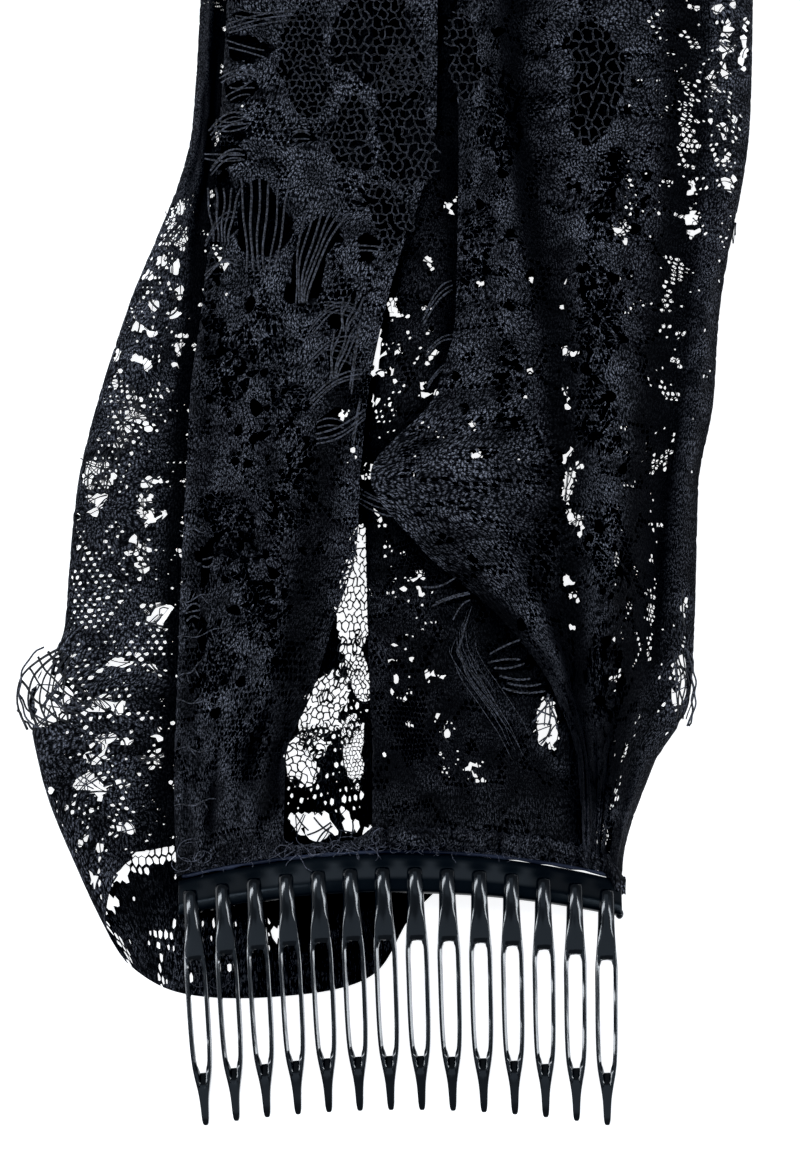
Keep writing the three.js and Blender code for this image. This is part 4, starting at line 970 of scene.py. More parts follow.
@dataclass
class LaceCloth:
    """The whole lace sheet, as a honeycomb of closed and open cells laid over the drape."""

    layout: Layout
    drape: Drape
    view: Viewpoint
    pitch_u: float = 0.98
    pitch_v: float = 1.04
    jitter: float = 0.2
    margin: int = 6
    drift: float = 2.4
    drift_span: float = 12.0
    thread_rise: float = 0.09
    selvedge: float = 1.1
    rim_drop: float = 0.06

    # How open the lace's own pattern is on each panel
    OPENNESS = {
        Panel.LEFT: 0.12, Panel.LEFT_UNDER: 0.0, Panel.TUCKED: 0.0, Panel.FLAP: 0.0,
        Panel.FLAP_UNDER: 0.0, Panel.FLOOR_LEFT: 0.0, Panel.GAP: 0.0, Panel.FLOOR_RIGHT: 0.0,
        Panel.PLEAT: 0.0, Panel.PLEAT_TOP: 0.02, Panel.FAR_UNDER: 0.0, Panel.FAR_RIGHT: 0.06,
        Panel.COLUMN: 0.12, Panel.DIAGONAL: 0.05,
    }

    # The open shares that the cells of a net are drawn from
    SHARES = {
        Cell.NET: [0, 0.35, 0.55, 0.68, 0.76, 0.84, 1, 1], Cell.SMALL: [0, 0.25, 0.4, 0.5, 0.6, 0.7],
        Cell.PIN: [0, 0, 0.15, 0.25, 0.35, 0.45, 0.6],
    }

    # How much darker the panels in the shade of the others are
    DIM = {
        Panel.PLEAT_TOP: 0.66, Panel.GAP: 0.5, Panel.FAR_RIGHT: 0.3, Panel.FLAP_UNDER: 0.4,
        Panel.FLOOR_LEFT: 0.4,
    }

    # The sheet's pieces: where each ends, in order across the sheet
    PIECES = (
        ("lace_left", "flap_root"), ("lace_flap", "floor_middle"), ("lace_floor", "pleat_right"),
        ("lace_pleat", "floor_right"), ("lace_right", "centre_roll"),
    )

    def build(self) -> list[tuple[bpy.types.Object, float, float]]:
        """Makes the sheet's pieces.

        Returns:
            Each piece with its flat width and its flat area, in metres.
        """
        columns = int(round(self.drape.width / self.pitch_u))
        rows = int(round(self.drape.length / self.pitch_v))
        rng = np.random.default_rng(3)
        m = self.margin
        j, i = np.meshgrid(np.arange(-m, rows + m + 1), np.arange(-m, columns + m + 1), indexing="ij")
        wide, high = self.drape.width / columns, self.drape.length / rows
        centre_u = (i + 0.5 * (j % 2)) * wide
        centre_v = j * high

        def moved(values: np.ndarray, pitch: float) -> np.ndarray:
            """Moves places by chance, by a share of the pitch."""
            return values + rng.normal(0, self.jitter * pitch / 2, values.shape)

        tops = np.stack([moved(centre_u, wide), moved(centre_v + high * 2 / 3, high)], axis=-1)
        bottoms = np.stack([moved(centre_u, wide), moved(centre_v - high * 2 / 3, high)], axis=-1)
        middles = np.stack([centre_u, centre_v], axis=-1)
        count = j.size
        flat = np.concatenate([tops.reshape(-1, 2), bottoms.reshape(-1, 2), middles.reshape(-1, 2)])
        flat += self.drift * np.stack([
            ValueNoise(31 + k).at(flat[:, 0] / self.drift_span, flat[:, 1] / self.drift_span) for k in (0, 1)
        ], axis=1)
        flat[:, 0] = np.clip(flat[:, 0], 0, self.drape.width)
        flat[:, 1] = np.clip(flat[:, 1], 0, self.drape.length)

        inner_j, inner_i = (a.reshape(-1) for a in np.meshgrid(
            np.arange(1, j.shape[0] - 1), np.arange(1, j.shape[1] - 1), indexing="ij"))
        odd = (j[inner_j, inner_i] % 2).astype(int)
        stride = j.shape[1]
        own = inner_j * stride + inner_i
        above, below = own + stride, own - stride
        ring = np.stack([
            own, count + above - 1 + odd, below - 1 + odd, count + own, below + odd, count + above + odd,
        ], axis=1)
        middle = 2 * count + own
        state = self._states(flat[middle])
        points = self.drape.points(flat[:, 0], flat[:, 1])
        plan = self.view.onto_plan(points)
        state, pulls = self._chart(flat, plan, middle, ring, state, points[middle, 2])
        points = points + pulls
        normals = self.drape.upward(flat[:, 0], flat[:, 1])
        rise = np.full(len(flat), self.thread_rise)
        rise[2 * count:] = self.thread_rise * rng.uniform(0.5, 1.5, count)
        points = points + normals * rise[:, None]
        return self._pieces(flat, points, normals, ring, middle, state)

    def _states(self, centres: np.ndarray) -> np.ndarray:
        """Gives the open share of each cell by the lace's own pattern.

        Args:
            centres: Flat places of the cells' middles.

        Returns:
            The open share of each cell.
        """
        openness = np.zeros(len(centres))
        for panel, value in self.OPENNESS.items():
            openness[self._on(panel, centres[:, 0])] = value
        pattern = LacePattern(self.drape.width, self.drape.length)
        covered = self._on(Panel.GAP, centres[:, 0]) * smooth(centres[:, 1], 60, 66)
        near_comb = 1 - smooth(centres[:, 1], 6, 30)
        state = pattern.cells(centres[:, 0], centres[:, 1], openness * (1 - 0.9 * near_comb) * (1 - covered))
        floors = (Panel.GAP, Panel.FLOOR_LEFT, Panel.FLOOR_RIGHT)
        hidden = sum(self._on(panel, centres[:, 0]) for panel in floors) > 0
        state[hidden] = Cell.CLOSED.value
        return state

    def _on(self, panel: Panel, u: np.ndarray) -> np.ndarray:
        """Tells which flat places lie on a panel."""
        first, last = (self.drape.line_u[name] for name in panel.value)
        return (u >= first) & (u < last)

    @staticmethod
    def _strew(state: np.ndarray, cell_plan: np.ndarray, heights: np.ndarray, on: dict[Panel, np.ndarray],
               rng: np.random.Generator) -> None:
        """Opens a small hole in one cell at each tiny clear place, where its panel lies uppermost.

        Args:
            state: The open share of each cell, which changes.
            cell_plan: The cells' places on the plan.
            heights: Their heights.
            on: Which cells lie on each panel.
            rng: The source of the hole sizes.
        """
        for panel, openings in speck_places().items():
            for opening in openings:
                away = np.hypot(cell_plan[:, 0] - opening.x, cell_plan[:, 1] - opening.y)
                near = np.flatnonzero(away < 1.6)
                if not len(near):
                    continue
                top = near[heights[near].argmax()]
                if not on[panel][top]:
                    continue
                upper = near[on[panel][near] & (heights[near] > heights[top] - 1.0)]
                chosen = upper[away[upper].argmin()]
                state[chosen] = min(rng.uniform(0.9, 1.8) * opening.half_width * 1.2 + 0.08, 0.7)
                others = near[~on[panel][near]]
                reach = np.hypot(*(cell_plan[others] - cell_plan[chosen]).T)
                state[others[reach < 0.8]] = Cell.VOID.value

    def _chart(self, flat: np.ndarray, plan: np.ndarray, middle: np.ndarray, ring: np.ndarray,
               state: np.ndarray, heights: np.ndarray) -> tuple[np.ndarray, np.ndarray]:
        """Opens the cells at the charted places and draws the rims of the clear ones to true ovals.

        Args:
            flat: Flat places of all vertices.
            plan: Their places on the plan.
            middle: The middle vertex of each cell.
            ring: The six corner vertices of each cell.
            state: The open share of each cell.
            heights: The height of each cell.

        Returns:
            The new open shares, and how far each vertex moves.
        """
        rng = np.random.default_rng(71)
        state = state.copy()
        pulls = np.zeros((len(flat), 3))
        cell_u, cell_plan = flat[middle, 0], plan[middle]
        on = {panel: self._on(panel, cell_u) for panel in Panel}
        to_edge = self.drape.line_u["right_fold"] - cell_u
        thin = on[Panel.FLAP_UNDER] & (cell_plan[:, 1] > 2)
        thin |= on[Panel.FAR_UNDER] & (to_edge < 11) & (cell_plan[:, 1] > 14)
        state[thin] = rng.choice([0.74, 0.82, 0.88], int(thin.sum()))
        state[on[Panel.FLAP] | on[Panel.GAP] | on[Panel.FAR_RIGHT]] = Cell.CLOSED.value
        patchy = ValueNoise(16).at(cell_plan[:, 0] / 4, cell_plan[:, 1] / 6) > 0.3
        dust = on[Panel.FLAP] & patchy & (rng.uniform(size=len(cell_u)) < 0.34)
        state[dust] = rng.uniform(0.06, 0.4, int(dust.sum()))
        rims = []
        clumps = ValueNoise(15).at(cell_u / 1.9, flat[middle, 1] / 2.1)
        charts = [(DARK, False), (net_places(DARK_NETS), False),
                  (THROUGH, True), (net_places(THREAD_NETS), True)]
        for chart, through in charts:
            for panel, openings in chart.items():
                for opening in openings:
                    reach = opening.reach(cell_plan, 0.4 if panel is Panel.FLAP else 0.0)
                    own = on[panel]
                    hit = own & (reach < 1)
                    if not hit.any():
                        hit = own & (np.hypot(*(cell_plan - [opening.x, opening.y]).T) < 1.2)
                        hit &= reach <= reach[hit].min(initial=np.inf) + 1e-9
                    if not hit.any():
                        continue
                    if opening.cell is Cell.VOID:
                        kept = (clumps > 0.42) & (opening.half_width * opening.half_height > 6) & through
                        state[hit] = np.where(kept[hit], Cell.SMALL.value, Cell.VOID.value)
                        rims.append((opening, own))
                    else:
                        state[hit] = rng.choice(self.SHARES[opening.cell], int(hit.sum()))
                    if through:
                        lower = heights < heights[hit].mean() + 0.3
                        others = ~own & lower & (opening.reach(cell_plan, 0.6) < 1)
                        state[others] = Cell.VOID.value
        self._strew(state, cell_plan, heights, on, rng)
        for name, low, high in (("flap_edge", 26, 45), ("right_fold", 28, 43)):
            bulge = (cell_plan[:, 1] > low) & (cell_plan[:, 1] < high)
            state[(np.abs(cell_u - self.drape.line_u[name]) < self.selvedge) & ~bulge] = Cell.CLOSED.value
        void = state == Cell.VOID.value
        touched = np.zeros((2, len(flat)), bool)
        for kind in (0, 1):
            touched[kind, ring[void == bool(kind)].reshape(-1)] = True
        border = touched[0] & touched[1]
        for opening, cells in rims:
            corners = np.zeros(len(flat), bool)
            corners[ring[cells].reshape(-1)] = True
            reach = opening.reach(plan)
            near = np.flatnonzero(border & corners & (reach > 0.4) & (reach < 2.6))
            if not len(near):
                continue
            offset = plan[near] - np.array([opening.x, opening.y])
            move = offset * (1 / reach[near] - 1)[:, None]
            length = np.linalg.norm(move, axis=1)
            move *= np.minimum(1, 0.7 / np.maximum(length, 1e-6))[:, None]
            pulls[near, :2] = move
        return state, pulls

    def _pieces(self, flat: np.ndarray, points: np.ndarray, normals: np.ndarray, ring: np.ndarray,
                middle: np.ndarray, state: np.ndarray) -> list[tuple[bpy.types.Object, float, float]]:
        """Makes the meshes from the cells.

        Args:
            flat: Flat places of the cells' corners and middles.
            points: Their layout points.
            normals: The sheet's normals there.
            ring: The six corners of each cell.
            middle: The middle of each cell.
            state: How far each cell is open.

        Returns:
            Each mesh with its flat width in metres and its flat area in square metres.
        """
        pieces, low = [], -1.0
        for name, end_line in self.PIECES:
            high = self.drape.line_u[end_line] if end_line != LINES[-1].name else math.inf
            inside = (flat[middle, 0] >= low) & (flat[middle, 0] < high)
            closed = inside & (state == Cell.CLOSED.value)
            holed = inside & (state > Cell.CLOSED.value) & (state < Cell.VOID.value)
            fans = [np.stack([middle[closed], ring[closed, k], ring[closed, (k + 1) % 6]], axis=1)
                    for k in range(6)]
            outer = ring[holed]
            share = state[holed][:, None, None]
            rim_points = points[middle[holed]][:, None] * (1 - share) + points[outer] * share
            rim_points = rim_points - normals[outer] * (self.thread_rise + self.rim_drop)
            rim_flat = flat[middle[holed]][:, None] * (1 - share) + flat[outer] * share
            inner = len(flat) + np.arange(outer.size).reshape(outer.shape)
            for k in range(6):
                n = (k + 1) % 6
                fans.append(np.stack([outer[:, k], outer[:, n], inner[:, n]], axis=1))
                fans.append(np.stack([outer[:, k], inner[:, n], inner[:, k]], axis=1))
            triangles = np.concatenate(fans)
            all_points = np.concatenate([points, rim_points.reshape(-1, 3)])
            all_flat = np.concatenate([flat, rim_flat.reshape(-1, 2)])
            piece, area = self._mesh(name, all_points, all_flat, triangles)
            top = min(high, self.drape.width)
            pieces.append((piece, (top - max(low, 0)) * MM, area * MM * MM))
            low = high
        return pieces

    def _mesh(self, name: str, points: np.ndarray, flat: np.ndarray,
              triangles: np.ndarray) -> tuple[bpy.types.Object, float]:
        """Makes one mesh object with its flat places as UVs, and gives its flat area.

        Args:
            name: The piece's name.
            points: Layout points.
            flat: Their flat places.
            triangles: Three point numbers a row.

        Returns:
            The object, and its flat area in square millimetres.
        """
        a, b, c = (flat[triangles[:, k]] for k in range(3))
        area = 0.5 * ((b - a)[:, 0] * (c - a)[:, 1] - (b - a)[:, 1] * (c - a)[:, 0])
        solid = np.abs(area) > 1e-6
        triangles, area = triangles[solid], np.abs(area[solid])
        used, index = np.unique(triangles, return_inverse=True)
        piece = triangle_mesh(name, self.layout.metres(points[used]), index.reshape(-1, 3))
        lay_flat(piece, flat[used][index.reshape(-1)])
        u, v = flat[used][:, 0], flat[used][:, 1]
        dim = sum(self._on(panel, u) * value for panel, value in self.DIM.items())
        store(piece, "shade", 1 - (1 - self.drape.shades(u, v)) * (1 - dim))
        return piece, float(area.sum())


def triangle_mesh(name: str, points: np.ndarray, triangles: np.ndarray) -> bpy.types.Object:
    """Makes a smooth-shaded mesh object from arrays.

    Args:
        name: The piece's name.
        points: Vertices in metres.
        triangles: Three vertex numbers a row.

    Returns:
        The new object, linked to the scene.
    """
    mesh = bpy.data.meshes.new(name)
    mesh.vertices.add(len(points))
    mesh.vertices.foreach_set("co", np.asarray(points, np.float32).ravel())
    mesh.loops.add(triangles.size)
    mesh.loops.foreach_set("vertex_index", np.asarray(triangles, np.int32).ravel())
    mesh.polygons.add(len(triangles))
    mesh.polygons.foreach_set("loop_start", np.arange(0, triangles.size, 3, dtype=np.int32))
    mesh.update(calc_edges=True)
    mesh.polygons.foreach_set("use_smooth", np.ones(len(triangles), bool))
    piece = bpy.data.objects.new(name, mesh)
    bpy.context.scene.collection.objects.link(piece)
    return piece


def store(piece: bpy.types.Object, name: str, values: np.ndarray) -> None:
    """Stores a value for each vertex, from 0 to 1, for the finish to read."""
    layer = piece.data.attributes.new(name, "FLOAT", "POINT")
    layer.data.foreach_set("value", np.asarray(values, np.float32))


def lay_flat(piece: bpy.types.Object, flat: np.ndarray) -> None:
    """Stores the flat place of each corner of the mesh as its UVs."""
    layer = piece.data.uv_layers.new(name="flat")
    layer.data.foreach_set("uv", (flat / UV_SPAN).ravel())


class TubeBatch:
    """Many thin threads that become one mesh."""

    def __init__(self, sides: int = 5) -> None:
        """Starts with no threads.

        Args:
            sides: How many sides a thread has.
        """
        self.sides = sides
        self.points: list[np.ndarray] = []
        self.triangles: list[np.ndarray] = []
        self.count = 0

    def add(self, path: np.ndarray, radius: float, taper: float = 0.0) -> None:
        """Adds one thread.

        Args:
            path: Layout points that it follows, one a row.
            radius: Its radius in millimetres.
            taper: The share by which it is thinner at its ends.
        """
        path = np.asarray(path, float)
        if len(path) < 2:
            return
        direction = np.gradient(path, axis=0)
        direction /= np.maximum(np.linalg.norm(direction, axis=1, keepdims=True), 1e-9)
        side = np.cross(direction, [0.13, 0.07, 1.0])
        side /= np.maximum(np.linalg.norm(side, axis=1, keepdims=True), 1e-9)
        up = np.cross(side, direction)
        share = np.linspace(-1, 1, len(path))
        thickness = radius * (1 - taper * share**2)
        angle = np.arange(self.sides) * 2 * np.pi / self.sides
        ring = (np.cos(angle)[None, :, None] * side[:, None] + np.sin(angle)[None, :, None] * up[:, None])
        body = path[:, None] + ring * thickness[:, None, None]
        ends = np.stack([path[0], path[-1]])
        base = self.count
        s = np.arange(self.sides)
        n = (s + 1) % self.sides
        for k in range(len(path) - 1):
            a, b = base + k * self.sides, base + (k + 1) * self.sides
            self.triangles.append(np.stack([a + s, a + n, b + n], axis=1))
            self.triangles.append(np.stack([a + s, b + n, b + s], axis=1))
        first, last = base + len(path) * self.sides, base + len(path) * self.sides + 1
        end = base + (len(path) - 1) * self.sides
        self.triangles.append(np.stack([np.full(self.sides, first), base + n, base + s], axis=1))
        self.triangles.append(np.stack([np.full(self.sides, last), end + s, end + n], axis=1))
        self.points.append(np.concatenate([body.reshape(-1, 3), ends]))
        self.count += len(path) * self.sides + 2

    def mesh(self, name: str, layout: Layout) -> bpy.types.Object:
        """Makes the mesh of all threads."""
        return triangle_mesh(name, layout.metres(np.concatenate(self.points)), np.concatenate(self.triangles))


@dataclass
class LaceThreads:
    """The bare threads of the lace: bars across its open places, fans, edge loops and loose ends."""

    layout: Layout
    drape: Drape
    view: Viewpoint
    radius: float = 0.2
    trees: dict[Panel, tuple[KDTree, np.ndarray]] = field(default_factory=dict)

    def _tree(self, panel: Panel) -> tuple[KDTree, np.ndarray]:
        """Gives a search tree over a panel's places on the plan, made once.

        Args:
            panel: The panel.

        Returns:
            The tree, and the layout points in its order.
        """
        if panel not in self.trees:
            first, last = (self.drape.line_u[name] for name in panel.value)
            columns = np.flatnonzero((self.drape.flat_u >= first) & (self.drape.flat_u <= last))
            points = self.drape.grid[:, columns].reshape(-1, 3)
            plan = self.view.onto_plan(points)
            tree = KDTree(len(points))
            for k, (x, y) in enumerate(plan):
                tree.insert((x, y, 0), k)
            tree.balance()
            self.trees[panel] = (tree, points)
        return self.trees[panel]

    def on_panel(self, panel: Panel, places: np.ndarray, lift: float | np.ndarray = 0.15) -> np.ndarray:
        """Lays places of the plan onto a panel.

        Args:
            panel: Which part of the sheet carries them.
            places: Places on the plan, one a row.
            lift: How far above the lace they are.

        Returns:
            Layout points, one a row.
        """
        tree, points = self._tree(panel)
        near = np.array([
            np.mean([points[k] for _, k, _ in tree.find_n((x, y, 0), 4)], axis=0) for x, y in places
        ])
        eye = self.view.eye()
        height = near[:, 2] + lift
        reach = (height - eye[2]) / (self.view.target[2] - eye[2])
        plan = np.concatenate([places, np.full((len(places), 1), self.view.target[2])], axis=1)
        return eye + (plan - eye) * reach[:, None]

    def build(self) -> list[bpy.types.Object]:
        """Makes the open nets, the threads across openings, the nets before dark layers and the rest.

        Returns:
            The four new objects.
        """
        rng = np.random.default_rng(17)
        nets = TubeBatch(sides=3)
        for net in THREAD_NETS:
            for places in net.threads(rng):
                nets.add(self.on_panel(net.panel, places, 0.05), net.radius * rng.uniform(0.7, 1.3), -0.4)
        grounds = TubeBatch(sides=3)
        for net in DARK_NETS:
            for places in net.threads(rng):
                path = self.on_panel(net.panel, places, 0.05)
                aside = np.cross(path[-1] - path[0], [0, 0, 1.0])
                aside *= net.radius / max(np.linalg.norm(aside), 1e-6)
                for side in (-1, 1):
                    arch = np.sin(np.linspace(0, np.pi, len(path)))[:, None]
                    swell = 0.6 + 1.2 * arch * rng.uniform(0.1, 1)
                    wander = rng.normal(0, 0.04, path.shape)
                    grounds.add(path + side * aside * swell + wander, net.radius * rng.uniform(0.5, 1.0))
        fine = TubeBatch(sides=3)
        for panel in (Panel.FLAP, Panel.FAR_RIGHT, Panel.COLUMN, Panel.PLEAT_TOP):
            for opening in THROUGH[panel]:
                self._crossings(fine, rng, panel, opening)
        batch = TubeBatch()
        for panel, openings in DARK.items():
            for opening in openings:
                area = opening.half_width * opening.half_height
                if opening.cell is Cell.VOID and area > 3.4 and opening.half_height < 5:
                    self._bars(batch, rng, panel, opening)
        self._bars_round(batch, rng)
        self._crossed_net(fine, rng)
        self._fans(batch, rng)
        self._arcs(batch, rng)
        self._veins(batch, rng)
        self._edge_loops(batch, rng)
        self._hanging(batch, rng)
        return [nets.mesh("lace_nets", self.layout), fine.mesh("lace_crossings", self.layout),
                grounds.mesh("lace_grounds", self.layout), batch.mesh("lace_threads", self.layout)]

    def _crossings(self, batch: TubeBatch, rng: np.random.Generator, panel: Panel, opening: Opening) -> None:
        """Lays fine single threads and pairs of threads across an opening, more across a large one.

        Args:
            batch: The threads to add to.
            rng: The source of the threads' places.
            panel: Which part of the sheet has the opening.
            opening: The opening.
        """
        area = opening.half_width * opening.half_height
        in_bulge = opening.x < -58 and 28 < opening.y < 40
        if area < 0.5 or opening.half_height > 4.5 or in_bulge or panel is Panel.PLEAT_TOP and area > 1.5:
            return
        for _ in range(1 + int(area > 0.9) + 2 * int(area > 1.8) + 4 * int(area > 4)):
            angle, off = rng.uniform(0, math.pi), rng.uniform(-0.6, 0.6)
            share = np.linspace(-1.25, 1.25, 7)
            bend = rng.uniform(-0.25, 0.25) * (1 - share**2)
            for pair in range(int(rng.integers(1, 3))):
                side = off + 0.16 * pair + bend
                a = (share * math.cos(angle) - side * math.sin(angle)) * (opening.half_width + 0.2)
                b = (share * math.sin(angle) + side * math.cos(angle)) * (opening.half_height + 0.2)
                places = np.stack([opening.x + a, opening.y + b], axis=1)
                tree = self._tree(panel)[0]
                places = places[[tree.find((x, y, 0))[2] < 0.5 for x, y in places]]
                if len(places) > 3:
                    batch.add(self.on_panel(panel, places, 0.05), rng.uniform(0.07, 0.13), -0.5)

    def _bars(self, batch: TubeBatch, rng: np.random.Generator, panel: Panel, opening: Opening) -> None:
        """Crosses a large opening with a few threads that run about side by side.

        Args:
            batch: The tubes that the threads join.
            rng: The source of random numbers.
            panel: The panel that has the opening.
            opening: The opening that the threads cross.
        """
        heading = rng.uniform(-0.7, 0.7)
        count = int(rng.integers(2, 4))
        for k in range(count):
            off = (k - (count - 1) / 2) * 1.1 + rng.uniform(-0.3, 0.3)
            share = np.linspace(-1.08, 1.08, 9)
            reach = math.sqrt(max(0.1, 1 - min(1, abs(off) / opening.half_height) ** 2))
            a = share * opening.half_width * reach
            b = off + (1 - share**2) * rng.uniform(-0.8, 0.8) + heading * a * 0.5
            places = np.stack([opening.x + a, opening.y + b], axis=1)
            batch.add(self.on_panel(panel, places), self.radius * rng.uniform(0.75, 1.05), 0.1)

    def _bars_round(self, batch: TubeBatch, rng: np.random.Generator) -> None:
        """Adds the arcs and bars that cross the see-through openings.

        Args:
            batch: The tubes that the threads join.
            rng: The source of random numbers.
        """
        for panel, openings in THROUGH.items():
            for opening in openings:
                size = opening.half_width * opening.half_height
                if opening.cell is not Cell.VOID or size < 1.3:
                    continue
                for _ in range(2 if size < 3 else 4):
                    start, turn = rng.uniform(0, 2 * np.pi), rng.uniform(1.9, 3.6)
                    ends = np.array([[np.cos(a), np.sin(a)] for a in (start, start + turn)])
                    ends = ends * [opening.half_width * 1.1, opening.half_height * 1.1]
                    share = np.linspace(0, 1, 7)[:, None]
                    places = ends[0] * (1 - share) + ends[1] * share + [opening.x, opening.y]
                    places = places + np.sin(np.pi * share) * rng.uniform(-0.35, 0.35, 2)
                    batch.add(self.on_panel(panel, places), self.radius * rng.uniform(0.55, 0.95), 0.1)

    def _fans(self, batch: TubeBatch, rng: np.random.Generator) -> None:
        """Adds the fans of long threads that cross the dark places of the left panel.

        Args:
            batch: The tubes that the threads join.
            rng: The source of random numbers.
        """
        # x and y of the narrow end, length, width at the narrow and at the wide end, lean, threads
        fans = (
            (-26.4, 118, 19, 5.6, 9.6, 0.6, 6), (-18.6, 111.4, 18.5, 2.2, 8.4, 4.6, 6),
            (-12.4, 96, 10, 1.6, 5.2, 2.4, 5), (-34, 124, 11, 3, 6.6, 0.4, 5),
            (-10.6, 105.6, 7, 1.4, 4.4, 1.8, 4),
        )
        for x, y, length, narrow, wide, lean, count in fans:
            for k in range(count):
                side = (k / (count - 1) - 0.5) * 2
                share = np.linspace(0, 1, 16)
                spread = (narrow + (wide - narrow) * share**1.5) / 2 * side + lean * share**1.6
                wave = 0.2 * np.sin(share * 8 + k) + 0.7 * np.sin(np.pi * share) * rng.uniform(-0.5, 0.5)
                places = np.stack([x + spread + wave, y + length * share], axis=1)
                lift = 0.15 + 0.5 * np.sin(np.pi * share)
                batch.add(self.on_panel(Panel.LEFT, places, lift), self.radius * rng.uniform(0.95, 1.3), 0.1)

    def _crossed_net(self, batch: TubeBatch, rng: np.random.Generator) -> None:
        """Adds the crossed net that bulges out of the flap's edge, and the long threads at the right edge.

        Args:
            batch: The tubes that the threads join.
            rng: The source of random numbers.
        """
        # both ends of each thread, and how far it bows out to the left and downwards
        threads = [
            ((-62.8 + 0.5 * k, 42.9 - 0.4 * k), (-68.2 + 1.9 * k, 27.4 + 0.35 * k), -4.6 + 0.9 * k)
            for k in range(5)]
        threads += [
            ((-69.9, 34.4), (-64.6, 28.2), -0.6), ((-69.5, 37), (-60.8, 28.8), -0.9),
            ((-68.3, 39.4), (-57.4, 29.6), -1.1), ((-66.6, 41.4), (-56, 31.4), -1.2),
            ((-64.6, 42.6), (-56.6, 34), -1.1), ((-70, 31.4), (-66.6, 27.4), -0.4)]
        for start, end, bow_out in threads:
            share = np.linspace(0, 1, 16)[:, None]
            along = np.array(end) - np.array(start)
            out = np.array([-along[1], along[0]]) / np.hypot(*along) * bow_out
            wander = 0.12 * np.sin(share * 14 + start[0])
            places = np.array(start) + along * share + out * np.sin(np.pi * share) + wander
            batch.add(self.on_panel(Panel.FLAP, places, 0.2), 0.23 * rng.uniform(0.8, 1.2), -0.3)
        for k in range(4):
            share = np.linspace(-1, 1, 14)
            a = 51.4 + 0.75 * k - 1.1 * share**2 + 0.25 * np.sin(share * 5 + k)
            places = np.stack([a, 36 + 6.5 * share], axis=1)
            batch.add(self.on_panel(Panel.FAR_RIGHT, places, 0.2), 0.18 * rng.uniform(0.8, 1.2))

    def _arcs(self, batch: TubeBatch, rng: np.random.Generator) -> None:
        """Adds the loose arcs round the dark holes beside the middle.

        Args:
            batch: The tubes that the threads join.
            rng: The source of random numbers.
        """
        # panel, both ends, how far the arc bows up, and how many lie side by side
        sets = (
            (Panel.LEFT, (-16.6, 107), (-8.6, 111), 2.4, 3),
            (Panel.LEFT, (-16.8, 100), (-8.4, 104.5), 2.0, 2),
            (Panel.LEFT, (-17, 92), (-7.2, 98), 1.6, 3), (Panel.LEFT, (-15.6, 85), (-6.4, 90), -1.2, 3),
            (Panel.LEFT, (-7.4, 108), (-9.4, 94), 0.8, 2), (Panel.LEFT, (-7.6, 92), (-8.6, 84), 0.6, 2),
            (Panel.PLEAT_TOP, (4.6, 109), (10, 116), 1.6, 3),
            (Panel.PLEAT_TOP, (5, 101.5), (10.6, 105), 1.2, 2),
            (Panel.PLEAT_TOP, (5.2, 95), (10, 99.6), 1.2, 2),
            (Panel.PLEAT_TOP, (4.6, 87.4), (8.8, 92), 1.0, 2),
            (Panel.PLEAT_TOP, (-2, 79), (7.4, 84), -1.6, 3),
            (Panel.PLEAT_TOP, (-8.6, 75), (5, 73), -2.2, 4), (Panel.LEFT, (-37, 124), (-31, 130), 2.2, 2),
            (Panel.LEFT, (-37, 117), (-30.6, 120), 1.8, 2),
            (Panel.LEFT, (-36.4, 147), (-30, 150.6), 1.4, 3),
            (Panel.LEFT, (-36, 139.6), (-30.4, 143), 1.4, 3),
            (Panel.LEFT, (-34.6, 158), (-27, 159), 1.2, 2),
            (Panel.LEFT, (-33, 169.6), (-20, 172.4), 0.6, 3),
        )
        for panel, start, end, bow_up, count in sets:
            for k in range(count):
                share = np.linspace(0, 1, 12)[:, None]
                a = np.array(start) + [rng.uniform(-0.3, 0.3), -0.95 * k]
                b = np.array(end) + [rng.uniform(-0.3, 0.3), -0.95 * k]
                places = a * (1 - share) + b * share
                places[:, 1:] += bow_up * np.sin(np.pi * share) * rng.uniform(0.7, 1.2)
                batch.add(self.on_panel(panel, places, 0.3), self.radius * rng.uniform(0.8, 1.1), 0.1)

    def _veins(self, batch: TubeBatch, rng: np.random.Generator) -> None:
        """Adds the raised branches that run in from the left fold over the lower left panel.

        Args:
            batch: The tubes that the threads join.
            rng: The source of random numbers.
        """
        for y in (66, 52, 45, 37.4, 33, 24, 13):
            share = np.linspace(0, 1, 14)
            length, rise = rng.uniform(4, 9), rng.uniform(-1, 3.4)
            up = y + rise * share**1.4 + 0.35 * np.sin(share * 9 + y)
            places = np.stack([-41 + length * share, up], axis=1)
            batch.add(self.on_panel(Panel.LEFT, places, 0.16), self.radius * rng.uniform(0.5, 0.9), 0.5)
            for part in (5, 9):
                heading = rng.choice([-1, 1]) * rng.uniform(0.5, 1.3)
                run = np.array([math.cos(heading), math.sin(heading)])
                twig = places[part] + np.linspace(0, 1, 6)[:, None] * run * 2
                batch.add(self.on_panel(Panel.LEFT, twig, 0.14), self.radius * rng.uniform(0.4, 0.6), 0.5)

    def _edge_loops(self, batch: TubeBatch, rng: np.random.Generator) -> None:
        """Adds the long loops that bulge out of the flap's edge and out of the right edge.

        Args:
            batch: The tubes that the threads join.
            rng: The source of random numbers.
        """
